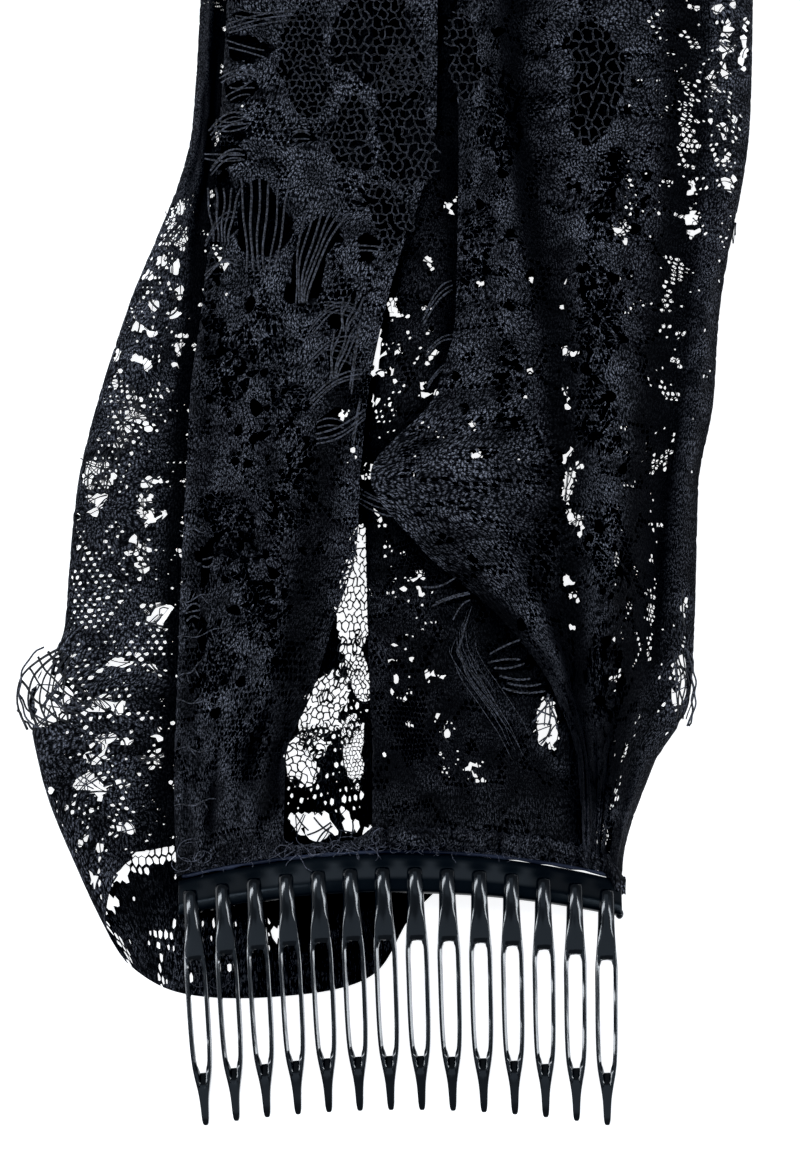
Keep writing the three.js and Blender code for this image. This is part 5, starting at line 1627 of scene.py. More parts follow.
        # panel, middle x and y of the edge, reach outwards, half height, number of loops
        edges = ((Panel.FLAP, -64.6, 35.4, -5.2, 7.9, 1), (Panel.FAR_RIGHT, 52.4, 35.6, 1.8, 7.4, 2))
        for panel, x, y, reach, half, count in edges:
            share = np.linspace(-1, 1, 25)
            for k in range(count):
                out = (reach - 0.5 * k * np.sign(reach)) * np.sqrt(np.clip(1 - (0.99 * share) ** 2, 0, 1))
                wave = 0.18 * np.sin(share * 11 + 2 * k)
                places = np.stack([x + out + wave, y + share * half], axis=1)
                batch.add(self.on_panel(panel, places, 0.5), self.radius * rng.uniform(0.8, 1.1))

    def _hanging(self, batch: TubeBatch, rng: np.random.Generator) -> None:
        """Adds the long threads that bridge from the diagonal edge over the dark fold below it.

        Args:
            batch: The tubes that the threads join.
            rng: The source of random numbers.
        """
        # start at the edge, end over the dark, sag
        cords = (
            ((10.2, 56.7), (4.1, 55.0), -0.8), ((12.9, 53.6), (5.9, 51.2), 0.3),
            ((12.6, 53.9), (6.6, 51.9), 0.2), ((12.9, 52.4), (9.8, 48.6), 0.8),
            ((22.1, 44.7), (16.6, 42.0), 0.2), ((22.1, 40.9), (16.2, 40.3), 0.3),
            ((22.8, 40.1), (17.3, 39.3), -0.4), ((23.9, 37.2), (18.4, 37.8), -0.4),
            ((26.6, 34.9), (18.9, 35.5), -0.7), ((25.8, 36.2), (19.8, 36.4), -0.5),
        )
        for start, end, sag in cords:
            share = np.linspace(0, 1, 22)
            middle = np.array(start) * (1 - share[:, None]) + np.array(end) * share[:, None]
            middle[:, 1] += sag * np.sin(np.pi * share)
            phase = rng.uniform(0, 6)
            for k in (0, 1):
                angle = share * 20 + phase + k * math.pi
                places = middle + np.stack([0.08 * np.cos(angle), 0.12 * np.cos(angle)], axis=1)
                lift = 0.3 - 1.2 * share + 0.12 * np.sin(angle)
                batch.add(self.on_panel(Panel.DIAGONAL, places, lift), self.radius * 0.7, 0.2)
        # the rope of loose threads that falls from the edge towards the comb
        rope = np.array([(12.9, 51.5), (11.4, 46.6), (10.9, 42.8), (12.9, 38.6), (16.5, 33.2),
                         (20.1, 27.5), (22.4, 22.4)])
        reach = np.linspace(0, len(rope) - 1, 30)
        middle = np.stack([np.interp(reach, np.arange(len(rope)), rope[:, k]) for k in (0, 1)], axis=1)
        sway = ValueNoise(19)
        for k in range(13):
            off = rng.normal(0, 0.9)
            ways = [sway.at(reach * 0.9 + 5 * k, 3.0 * k + 0 * reach),
                    sway.at(reach * 0.9, 7.0 * k + 0 * reach)]
            drift = 0.5 * np.stack(ways, axis=1)
            first = int(rng.integers(0, 12))
            last = int(rng.integers(18, 31))
            places = (middle + [off, 0.3 * off] + drift)[first:last]
            path = self.on_panel(Panel.PLEAT_TOP, places, rng.uniform(0.2, 0.9))
            batch.add(path, self.radius * rng.uniform(0.3, 0.6), 0.55)
        # the two thick threads that cross the clear place beside the diagonal edge
        for start, end in (((28, 33.6), (24.2, 28.8)), ((24.8, 31.4), (28.6, 29.8))):
            share = np.linspace(0, 1, 9)[:, None]
            places = np.array(start) * (1 - share) + np.array(end) * share
            batch.add(self.on_panel(Panel.PLEAT_TOP, places, 0.3), self.radius * 0.9)


def start_modelling() -> None:
    """Leaves edit mode and deselects everything, so that operators act on the new piece alone."""
    if bpy.context.object and bpy.context.object.mode != "OBJECT":
        bpy.ops.object.mode_set(mode="OBJECT")
    bpy.ops.object.select_all(action="DESELECT")


def select_faces(piece: bpy.types.Object, wanted: Callable[[Vector, Vector], bool]) -> None:
    """Selects the faces of a mesh in edit mode that pass a test, and nothing else.

    Args:
        piece: The object in edit mode.
        wanted: A function of a face's middle and normal.
    """
    bpy.ops.mesh.select_mode(type="FACE")
    bpy.ops.mesh.select_all(action="DESELECT")
    mesh = bmesh.from_edit_mesh(piece.data)
    mesh.normal_update()
    chosen = [face for face in mesh.faces if wanted(face.calc_center_median(), face.normal)]
    for face in chosen:
        face.select_set(True)
    bmesh.update_edit_mesh(piece.data)


def select_verts(piece: bpy.types.Object, wanted: Callable[[Vector], bool]) -> int:
    """Selects the vertices of a mesh in edit mode that pass a test, and nothing else.

    Args:
        piece: The object in edit mode.
        wanted: A function of a vertex's place.

    Returns:
        How many vertices are selected.
    """
    bpy.ops.mesh.select_mode(type="VERT")
    bpy.ops.mesh.select_all(action="DESELECT")
    mesh = bmesh.from_edit_mesh(piece.data)
    chosen = [vert for vert in mesh.verts if wanted(vert.co)]
    for vert in chosen:
        vert.select_set(True)
    mesh.select_flush_mode()
    bmesh.update_edit_mesh(piece.data)
    return len(chosen)


def settle(piece: bpy.types.Object) -> None:
    """Moves a finished piece's place, turn and size into its mesh.

    Args:
        piece: The finished object.
    """
    start_modelling()
    piece.select_set(True)
    bpy.context.view_layer.objects.active = piece
    bpy.ops.object.transform_apply(location=True, rotation=True, scale=True)


def finish_modifier(piece: bpy.types.Object, kind: str, **values: object) -> None:
    """Adds a modifier with these values and applies it.

    Args:
        piece: The object.
        kind: The modifier's type.
        **values: Its settings, by name.
    """
    modifier = piece.modifiers.new(kind.lower(), kind)
    for name, value in values.items():
        setattr(modifier, name, value)
    bpy.context.view_layer.objects.active = piece
    bpy.ops.object.modifier_apply(modifier=modifier.name)


@dataclass(frozen=True)
class ToothSection:
    """One section of a tooth: its share of the length, half sizes and lift, in millimetres."""

    share: float
    half_width: float
    half_thickness: float
    lift: float = 0.0


@dataclass
class Comb:
    """The plastic hair comb: an arched spine with slotted teeth."""

    layout: Layout
    tooth_count: int = 14
    shoulder_pitch: float = 5.75
    tip_pitch: float = 5.5
    shoulder_shift: float = -0.3
    tip_shift: float = 1.2
    shoulder_above_centre: float = 1.0
    shoulder_proud: float = 0.9
    tip_y: float = -44.8
    tip_z: float = 0.55
    tip_rise_y: float = 2.0
    tip_rise_z: float = 4.0
    rail_width: float = 1.0
    edge_round: float = 0.15
    roll: float = -5.0
    slot_from: float = 0.29
    slot_to: float = 0.785
    recess_to: float = 0.85
    spine_steps: int = 84
    ledge_share: float = -0.24
    # Half width and half height of the painted shade above each tooth's root
    root_shade_wide: float = 2.2
    root_shade_high: float = 1.15

    SECTIONS = tuple(ToothSection(*row) for row in (
        (0.0, 1.16, 0.8, 0.1), (0.012, 1.36, 1.0, 0.36), (0.03, 1.42, 1.1, 0.5), (0.08, 1.46, 1.12, 0.6),
        (0.115, 1.48, 1.1, 0.56), (0.15, 1.52, 1.06, 0.42), (0.19, 1.59, 1.0, 0.2),
        (0.235, 1.7, 0.97, 0.06), (0.285, 1.86, 0.96), (0.32, 2.0, 0.96), (0.36, 2.08, 0.95),
        (0.46, 2.04, 0.93), (0.56, 2.05, 0.9), (0.66, 1.99, 0.88), (0.72, 1.87, 0.86), (0.75, 1.77, 0.85),
        (0.785, 1.57, 0.84), (0.815, 1.34, 0.82), (0.85, 1.06, 0.78), (0.885, 0.83, 0.71),
        (0.925, 0.71, 0.62), (0.97, 0.65, 0.54), (0.992, 0.52, 0.42), (1.0, 0.3, 0.26),
    ))
    START = ToothSection(0.0, 1.5, 1.0)
    SHOULDER_ENDS = 0.2
    # how far below the top each group of vertices lies, how it narrows, and how far it sinks
    ROUNDING = ((-0.03, 0.03, 0.52, 0.0), (0.03, 0.12, 0.9, 0.2), (0.12, 0.3, 1.0, 0.6))
    LENGTH = 44.0

    def build(self) -> bpy.types.Object:
        """Models the comb.

        Returns:
            The comb as one piece.
        """
        spine = self._spine()
        spine_size = len(spine.data.vertices)
        pattern_tooth = self._tooth()
        teeth = [self._placed_tooth(pattern_tooth, number) for number in range(self.tooth_count)]
        knob = self._end_knob()
        bpy.data.objects.remove(pattern_tooth)
        start_modelling()
        for part in [spine, knob, *teeth]:
            part.select_set(True)
        bpy.context.view_layer.objects.active = spine
        bpy.ops.object.join()
        spine.name = spine.data.name = "hair_comb"
        bpy.ops.object.shade_smooth_by_angle(angle=math.radians(38))
        self._paint_root_shade(spine, spine_size)
        return spine

    def _centre(self, x: float) -> Vector:
        """Gives the place of the spine's centre line."""
        return self.layout.place(x, arch_y(x), arch_z(x))

    def _spine(self) -> bpy.types.Object:
        """Extrudes the spine's profile along the arch, with a low ledge along its toothed edge.

        Returns:
            The spine.
        """
        xs = np.linspace(-COMB_WIDTH / 2, COMB_WIDTH / 2, self.spine_steps + 1)
        start_modelling()
        first, second = (self._centre(x) for x in xs[:2])
        step = second - first
        bpy.ops.mesh.primitive_cube_add(size=1, location=(first + second) / 2)
        spine = bpy.context.object
        spine.scale = (step.x, SPINE_HEIGHT * MM, SPINE_THICKNESS * MM)
        settle(spine)
        bpy.ops.object.mode_set(mode="EDIT")
        for share in (self.ledge_share, self.ledge_share + 0.03, -0.1, 0.04, 0.18, 0.32):
            bpy.ops.mesh.select_all(action="SELECT")
            cut = (first + second) / 2 + Vector((0, share * SPINE_HEIGHT * MM, 0))
            bpy.ops.mesh.bisect(plane_co=cut, plane_no=(0, 1, 0))
        middle_y = (first.y + second.y) / 2 + self.ledge_share * SPINE_HEIGHT * MM
        middle_z = (first.z + second.z) / 2
        select_verts(spine, lambda co: co.y < middle_y - 1e-5 and co.z > middle_z)
        bpy.ops.transform.translate(value=(0, 0, -0.35 * MM))
        right = max(vert.co.x for vert in bmesh.from_edit_mesh(spine.data).verts)
        select_verts(spine, lambda co: co.x > right - 1e-6)
        bpy.ops.transform.translate(value=(0, step.y / 2, step.z / 2))
        select_verts(spine, lambda co: co.x < right - 1e-6)
        bpy.ops.transform.translate(value=(0, -step.y / 2, -step.z / 2))
        for x0, x1 in zip(xs[1:-1], xs[2:]):
            move = self._centre(x1) - self._centre(x0)
            select_faces(spine, lambda middle, normal: normal.x > 0.9)
            bpy.ops.mesh.extrude_region_move(TRANSFORM_OT_translate={"value": tuple(move)})
        bpy.ops.object.mode_set(mode="OBJECT")
        settle(spine)
        for vert in spine.data.vertices:
            x = vert.co.x / MM - self.layout.shift_x
            centre = self._centre(x)
            vert.co.y = centre.y + (vert.co.y - centre.y) * (0.9 + 0.1 * bow(x))
        finish_modifier(spine, "BEVEL", width=0.3 * MM, segments=2, limit_method="ANGLE",
                        angle_limit=math.radians(40))
        finish_modifier(spine, "SUBSURF", levels=1, render_levels=1)
        return spine

    def _paint_root_shade(self, comb: bpy.types.Object, spine_size: int) -> None:
        """Stores the painted gloss: the coat is taken away above the root of each tooth as painted shade, and
        on the spine's front.

        Args:
            comb: The whole comb.
            spine_size: How many of its vertices, the first ones, are the spine's.
        """
        numbers = np.arange(self.tooth_count) - (self.tooth_count - 1) / 2
        roots = numbers * self.shoulder_pitch + self.shoulder_shift
        painted_gloss = np.ones(len(comb.data.vertices))
        for k, vert in enumerate(comb.data.vertices):
            x, y = vert.co.x / MM - self.layout.shift_x, vert.co.y / MM - self.layout.shift_y
            nearest = roots[np.abs(roots - x).argmin()]
            across = (x - nearest) / self.root_shade_wide
            up = (y - arch_y(nearest) - self.shoulder_above_centre - 0.55) / self.root_shade_high
            # Painted shade: no coat in a patch above the nearest tooth's root
            painted_gloss[k] -= math.exp(-((across**2 + up**2) ** 2))
            if k < spine_size:
                place = (y - arch_y(x)) / SPINE_HEIGHT
                painted_gloss[k] *= float(smooth(place, -0.2, -0.08)) * float(1 - smooth(place, 0.26, 0.36))
        store(comb, "painted_gloss", painted_gloss)

    def _tooth(self) -> bpy.types.Object:
        """Models one tooth along -y from the origin, with its slot and the sloped recess below it.

        Returns:
            The tooth.
        """
        start_modelling()
        bpy.ops.mesh.primitive_cube_add(size=1, location=(0, -0.5 * MM, 0))
        tooth = bpy.context.object
        tooth.scale = (2 * self.START.half_width * MM, MM, 2 * self.START.half_thickness * MM)
        settle(tooth)
        bpy.ops.object.mode_set(mode="EDIT")
        bpy.ops.mesh.select_mode(type="EDGE")
        bpy.ops.mesh.select_all(action="DESELECT")
        mesh = bmesh.from_edit_mesh(tooth.data)
        for edge in mesh.edges:
            run = edge.verts[0].co - edge.verts[1].co
            edge.select_set(abs(run.y) > 0.5 * MM)
        bmesh.update_edit_mesh(tooth.data)
        bpy.ops.mesh.bevel(offset=self.edge_round * MM, segments=2, affect="EDGES")
        first, previous = self.SECTIONS[:2]
        select_verts(tooth, lambda co: co.y > -0.5 * MM)
        start = self.START
        shape = (first.half_width / start.half_width, 1, first.half_thickness / start.half_thickness)
        bpy.ops.transform.resize(value=shape, center_override=(0, 0, 0))
        bpy.ops.transform.translate(value=(0, 0, first.lift * MM))
        place = -previous.share * self.LENGTH * MM
        select_verts(tooth, lambda co: co.y < -0.5 * MM)
        bpy.ops.transform.translate(value=(0, MM + place, 0))
        self._shape_ring(tooth, self.START, previous, place)
        for section in self.SECTIONS[2:]:
            step = (section.share - previous.share) * self.LENGTH * MM
            limit = place + 1e-7
            select_faces(tooth, lambda middle, normal: normal.y < -0.7 and middle.y < limit)
            bpy.ops.mesh.extrude_region_move(TRANSFORM_OT_translate={"value": (0, -step, 0)})
            place -= step
            self._shape_ring(tooth, previous, section, place)
            previous = section
        self._round_shoulder(tooth)
        self._cut_slot(tooth)
        bpy.ops.object.mode_set(mode="OBJECT")
        finish_modifier(tooth, "SUBSURF", levels=1, render_levels=1)
        return tooth

    def _round_shoulder(self, tooth: bpy.types.Object) -> None:
        """Rounds the upper side of the tooth where it stands on the spine.

        Args:
            tooth: The tooth in edit mode.
        """
        for section in self.SECTIONS:
            if section.share > self.SHOULDER_ENDS:
                break
            place, top = -section.share * self.LENGTH * MM, (section.lift + section.half_thickness) * MM
            fade = 0.5 if section.share > 0.15 else 1.0
            for low, high, narrow, sink in self.ROUNDING:
                found = select_verts(
                    tooth, lambda co: abs(co.y - place) < 1e-6 and low * MM < top - co.z < high * MM)
                if found:
                    shape = (1 - (1 - narrow) * fade, 1, 1)
                    bpy.ops.transform.resize(value=shape, center_override=(0, place, top))
                    bpy.ops.transform.translate(value=(0, 0, -sink * fade * MM))

    @staticmethod
    def _shape_ring(tooth: bpy.types.Object, before: ToothSection, after: ToothSection, place: float) -> None:
        """Sizes the end ring of the growing tooth to its section and lifts it.

        Args:
            tooth: The tooth in edit mode.
            before: The section that the ring has.
            after: The section that it gets.
            place: Where it stands, in metres.
        """
        select_verts(tooth, lambda co: co.y < place + 1e-6)
        mesh = bmesh.from_edit_mesh(tooth.data)
        chosen = [vert.co for vert in mesh.verts if vert.select]
        height = sum(co.z for co in chosen) / len(chosen)
        size = (after.half_width / before.half_width, 1, after.half_thickness / before.half_thickness)
        bpy.ops.transform.resize(value=size, center_override=(0, place, height))
        bpy.ops.transform.translate(value=(0, 0, (after.lift - before.lift) * MM))

    def _cut_slot(self, tooth: bpy.types.Object) -> None:
        """Insets the flat faces, opens the slot between them and rounds its ends.

        Args:
            tooth: The tooth.
        """
        length = self.LENGTH * MM
        start = -self.slot_from * length

        def in_slot(middle: Vector, normal: Vector) -> bool:
            """Tells whether a flat face lies along the slot, or along the recess on the upper side."""
            end = self.recess_to if normal.z > 0 else self.slot_to
            return abs(normal.z) > 0.9 and -end * length - 1e-6 < middle.y < start

        select_faces(tooth, in_slot)
        bpy.ops.mesh.inset(thickness=(self.rail_width - self.edge_round) * MM, depth=0)
        bpy.ops.mesh.delete(type="FACE")
        mesh = bmesh.from_edit_mesh(tooth.data)
        rim = [vert for vert in mesh.verts if vert.is_boundary]
        for top in (True, False):
            side = [vert for vert in rim if (vert.co.z > 0) == top]
            rows = sorted({round(vert.co.y, 7) for vert in side})
            factors = {rows[-1]: 0.4, rows[-2]: 0.86, rows[0]: 0.4, rows[1]: 0.8}
            for vert in side:
                vert.co.x *= factors.get(round(vert.co.y, 7), 1.0)
        bpy.ops.mesh.select_mode(type="EDGE")
        bpy.ops.mesh.select_all(action="DESELECT")
        for edge in mesh.edges:
            if edge.is_boundary:
                edge.select_set(True)
        bmesh.update_edit_mesh(tooth.data)
        bpy.ops.mesh.bridge_edge_loops()
        bpy.ops.mesh.select_all(action="SELECT")
        bpy.ops.mesh.normals_make_consistent(inside=False)

    def _placed_tooth(self, pattern: bpy.types.Object, number: int) -> bpy.types.Object:
        """Copies the tooth and lays the copy from its shoulder on the spine to its tip.

        Args:
            pattern: The modelled tooth.
            number: The tooth's number, from 0.

        Returns:
            The copy.
        """
        across = number - (self.tooth_count - 1) / 2
        half = (self.tooth_count - 1) / 2
        share = 1 - (across / half) ** 2
        root_x = across * self.shoulder_pitch + self.shoulder_shift
        root = self.layout.place(root_x, arch_y(root_x) + self.shoulder_above_centre,
                                 arch_z(root_x) + self.shoulder_proud)
        tip = self.layout.place(across * self.tip_pitch + self.tip_shift,
                                self.tip_y + self.tip_rise_y * share,
                                self.tip_z + self.tip_rise_z * share)
        copy = bpy.data.objects.new(f"tooth_{number}", pattern.data.copy())
        bpy.context.scene.collection.objects.link(copy)
        run = tip - root
        turn = Vector((0, -1, 0)).rotation_difference(run).to_matrix().to_4x4()
        turn = turn @ Matrix.Rotation(math.radians(self.roll), 4, "Y")
        stretch = Matrix.Diagonal((1, run.length / (self.LENGTH * MM), 1, 1))
        copy.matrix_world = Matrix.Translation(root) @ turn @ stretch
        settle(copy)
        return copy

    def _end_knob(self) -> bpy.types.Object:
        """Models the small moulding knob at the right end of the spine.

        Returns:
            The knob.
        """
        start_modelling()
        x = COMB_WIDTH / 2 - 0.5
        place = self.layout.place(x, arch_y(x) - 0.4 * SPINE_HEIGHT, arch_z(x) - 0.1)
        bpy.ops.mesh.primitive_uv_sphere_add(segments=20, ring_count=12, radius=0.85 * MM, location=place)
        knob = bpy.context.object
        knob.scale = (0.9, 1.15, 0.85)
        settle(knob)
        return knob


@dataclass
class GlueBead:
    """The bead of dried glue along the spine's back edge."""

    layout: Layout
    diameter: float = 0.9
    gap: float = 0.3
    steps: int = 90

    def build(self) -> bpy.types.Object:
        """Models the bead.

        Returns:
            The bead as one piece.
        """
        rng = np.random.default_rng(29)
        half = COMB_WIDTH / 2 - 0.5
        xs = np.linspace(-half, half, self.steps + 1)
        ys = spine_back_y(xs) + self.gap + self.diameter / 2 - 0.25
        zs = arch_z(xs) + 0.45
        start_modelling()
        bpy.ops.mesh.primitive_cylinder_add(
            vertices=8, radius=self.diameter / 2 * MM, depth=(xs[1] - xs[0]) * MM,
            location=self.layout.place((xs[0] + xs[1]) / 2, ys[0], zs[0]), rotation=(0, math.pi / 2, 0))
        bead = bpy.context.object
        settle(bead)
        bpy.ops.object.mode_set(mode="EDIT")
        size = 1.0
        for k in range(1, self.steps):
            move = self.layout.place(xs[k + 1], ys[k + 1], zs[k + 1]) - self.layout.place(xs[k], ys[k], zs[k])
            end = self.layout.place(xs[k], 0, 0).x - 1e-6
            select_faces(bead, lambda middle, normal: normal.x > 0.9 and middle.x > end)
            bpy.ops.mesh.extrude_region_move(TRANSFORM_OT_translate={"value": tuple(move)})
            swell = 0.85 + 0.35 * math.sin(k * 0.9) * rng.uniform(0.2, 1) + rng.uniform(-0.1, 0.1)
            new_size = float(np.clip(swell, 0.5, 1.3))
            centre = self.layout.place(xs[k + 1], ys[k + 1], zs[k + 1])
            grow = new_size / size
            bpy.ops.transform.resize(value=(1, grow, grow), center_override=tuple(centre))
            size = new_size
        bpy.ops.object.mode_set(mode="OBJECT")
        finish_modifier(bead, "SUBSURF", levels=1, render_levels=1)
        bpy.ops.object.shade_smooth()
        bead.name = bead.data.name = "glue_bead"
        # Painted highlight: the coat is kept only on two stretches of the bead
        x = np.array([vert.co.x for vert in bead.data.vertices]) / MM - self.layout.shift_x
        painted_gloss = np.exp(-(((x + 10.2) / 5.4) ** 4)) + 0.35 * np.exp(-(((x - 12) / 7) ** 4))
        store(bead, "painted_gloss", painted_gloss)
        return bead


@dataclass
class GatheredEdge:
    """The gathered roll of lace behind the spine, with its crushed pleats."""

    layout: Layout
    depth: float = 5.4
    half_width: float = 40.6
    segments: int = 320
    sides: int = 28
    thin_middle: float = -13.5

    def build(self) -> bpy.types.Object:
        """Models the roll.

        Returns:
            The roll as one piece.
        """
        crush, fine = ValueNoise(41), ValueNoise(42)
        x = np.linspace(-self.half_width, self.half_width, self.segments)
        angle = np.arange(self.sides) * 2 * np.pi / self.sides
        xx, aa = np.meshgrid(x, angle, indexing="ij")
        in_gap = smooth(np.abs(xx - self.thin_middle), 5, 9)
        end = np.minimum(1, 0.5 + (self.half_width - np.abs(xx)) / 6)
        share = (0.36 + 0.5 * in_gap) * end
        pleat = 0.13 * np.sin(xx * 3.1 + 1.2 * crush.at(xx / 2, aa)) + 0.16 * crush.at(xx * 0.9, aa * 1.3)
        pleat = pleat + 0.1 * fine.at(xx * 2.6, aa * 3)
        radius = share * (1 + pleat)
        half_depth, half_height = self.depth / 2.4, 2.1
        over_end = smooth(xx, 36.4, 39.2)
        out = half_depth * radius * np.cos(aa) * (1 + 0.7 * over_end)
        y = spine_back_y(xx) + 1.1 + half_depth * share + out - 3.0 * over_end
        z = arch_z(xx) + half_height * radius * np.sin(aa) * (1 + 0.3 * over_end)
        points = np.stack([xx + 0.25 * fine.at(xx, aa * 2), y, z], axis=-1).reshape(-1, 3)
        caps = np.stack([points.reshape(self.segments, self.sides, 3)[k].mean(axis=0) for k in (0, -1)])
        ring = np.arange(self.sides)
        i, s = (a.reshape(-1) for a in np.meshgrid(np.arange(self.segments - 1), ring, indexing="ij"))
        n = (s + 1) % self.sides
        a, b = i * self.sides + s, i * self.sides + n
        c, d = b + self.sides, a + self.sides
        triangles = [np.stack([a, c, b], axis=1), np.stack([a, d, c], axis=1)]
        following = (ring + 1) % self.sides
        last = (self.segments - 1) * self.sides
        first_cap, last_cap = len(points), len(points) + 1
        triangles.append(np.stack([np.full(self.sides, first_cap), ring, following], axis=1))
        triangles.append(np.stack([np.full(self.sides, last_cap), last + following, last + ring], axis=1))
        roll = triangle_mesh("gathered_edge", self.layout.metres(np.concatenate([points, caps])),
                             np.concatenate(triangles))
        corners = np.concatenate(triangles).reshape(-1)
        flat = np.stack([np.append(xx.reshape(-1), [-self.half_width, self.half_width]) + 60,
                         np.append(aa.reshape(-1) * 2.2, [0, 0])], axis=1)
        # Painted shade on the roll: darker overall, patchier along it
        folds = ValueNoise(43)
        dark = 0.62 + 0.3 * folds.at(xx * 0.5, aa) + 0.2 * folds.at(xx * 1.7, 3 * aa)
        store(roll, "shade", np.append(np.clip(dark, 0, 0.95).reshape(-1), [0.8, 0.8]))
        lay_flat(roll, flat[corners])
        return roll


@dataclass
class StrayFibres:
    """Fine fibres caught in the glue and curled over the ends of the comb."""

    layout: Layout
    count: int = 130

    def build(self) -> bpy.types.Object:
        """Models all fibres as one mesh.

        Returns:
            The new object.
        """
        rng = np.random.default_rng(53)
        batch = TubeBatch(sides=3)
        for _ in range(self.count):
            central = rng.uniform() < 0.7
            x = float(np.clip(rng.normal(-2, 17), -38, 38)) if central else float(rng.uniform(-38, 38))
            start = np.array([x, spine_back_y(x) + rng.uniform(0.3, 1.6), arch_z(x) + rng.uniform(0.5, 1.3)])
            self._fibre(batch, rng, start, rng.uniform(0.8, 2.4), rng.uniform(0.03, 0.055))
        for _ in range(46):
            x = float(rng.uniform(-21, -3))
            start = np.array([x, spine_back_y(x) + rng.uniform(0.8, 2.4), arch_z(x) + rng.uniform(0.2, 1.5)])
            self._fibre(batch, rng, start, rng.uniform(2.0, 5.0), rng.uniform(0.05, 0.1))
        # middle of each curl, its radius and turns
        for x, y, radius, turns in ((-37.5, 3.6, 2.9, 1.3), (-39.2, 1.4, 2.0, 0.9), (-35.4, 2.4, 1.7, 1.1)):
            angle = np.linspace(0, turns * 2 * np.pi, 40) + rng.uniform(0, 3)
            grow = np.linspace(1, 0.72, 40)
            z = arch_z(x) + 2.6 + 0.3 * np.sin(angle * 1.5)
            out, up = radius * grow * np.cos(angle), 0.8 * radius * grow * np.sin(angle)
            path = np.stack([x + out, y + up, z], axis=1)
            batch.add(path, 0.06)
        for x, y in ((-36.5, -18.6), (-33.2, -18.9)):
            share = np.linspace(0, 1, 16)
            path = np.stack([x - 2 + 5 * share, y - 1.6 * np.sin(np.pi * share), 3.0 + 0 * share], axis=1)
            batch.add(path, 0.05)
        return batch.mesh("stray_fibres", self.layout)

    @staticmethod
    def _fibre(batch: TubeBatch, rng: np.random.Generator, start: np.ndarray, length: float,
               radius: float) -> None:
        """Adds one short curved fibre.

        Args:
            batch: The tubes that the threads join.
            rng: The source of random numbers.
            start: Where the fibre starts.
            length: Its length.
            radius: Its radius.
        """
        steps = 7
        heading, lift = rng.uniform(0, 2 * np.pi), rng.uniform(-0.1, 0.5)
        bend = rng.uniform(-0.5, 0.5)
        points = [start]
        for _ in range(steps):
            heading += bend + rng.normal(0, 0.25)
            move = np.array([math.cos(heading), math.sin(heading), lift]) * length / steps
            points.append(points[-1] + move)
        batch.add(np.array(points), radius, 0.5)


def new_group(name: str, inputs: dict[str, float], outputs: tuple[str, ...]) -> bpy.types.NodeTree:
    """Makes an empty shader node group.

    Args:
        name: The group's name.
        inputs: Its number inputs with their defaults, after a vector input named Place.
        outputs: The names of its number outputs.

    Returns:
        The node tree, with its input and output nodes.
    """
    tree = bpy.data.node_groups.new(name, "ShaderNodeTree")
    tree.interface.new_socket("Place", in_out="INPUT", socket_type="NodeSocketVector")
    for label, value in inputs.items():
        tree.interface.new_socket(label, in_out="INPUT", socket_type="NodeSocketFloat").default_value = value
    for label in outputs:
        tree.interface.new_socket(label, in_out="OUTPUT", socket_type="NodeSocketFloat")
    tree.nodes.new("NodeGroupInput")
    tree.nodes.new("NodeGroupOutput")
    return tree


class Nodes:
    """A short way to add and join nodes in a tree."""

    def __init__(self, tree: bpy.types.NodeTree) -> None:
        """Keeps the tree."""
        self.tree = tree

    def add(self, kind: str, inputs: dict | None = None, **values: object) -> bpy.types.Node:
        """Adds a node, sets its values, and fills its inputs with values or sockets.

        Args:
            kind: The node's type.
            inputs: What goes into its inputs, by name or number.
            values: The node's own settings.

        Returns:
            The new node.
        """
        node = self.tree.nodes.new(kind)
        for name, value in values.items():
            setattr(node, name, value)
        for key, value in (inputs or {}).items():
            if isinstance(value, bpy.types.NodeSocket):
                self.tree.links.new(value, node.inputs[key])
            else:
                node.inputs[key].default_value = value
        return node

    def math(self, operation: str, *values: object) -> bpy.types.NodeSocket:
        """Adds a math node and gives its result."""
        node = self.add("ShaderNodeMath", dict(enumerate(values)), operation=operation)
        return node.outputs[0]

    def between(self, value: bpy.types.NodeSocket, low: float, high: float, to_low: float,
                to_high: float) -> bpy.types.NodeSocket:
        """Maps a value from one range to another and gives the result."""
        inputs = {"Value": value, "From Min": low, "From Max": high, "To Min": to_low, "To Max": to_high}
        return self.add("ShaderNodeMapRange", inputs).outputs["Result"]

    def blend(self, share: bpy.types.NodeSocket, first: object, second: object) -> bpy.types.NodeSocket:
        """Mixes two colours and gives the result."""
        inputs = {"Factor": share, 6: first, 7: second}
        return self.add("ShaderNodeMix", inputs, data_type="RGBA").outputs[2]


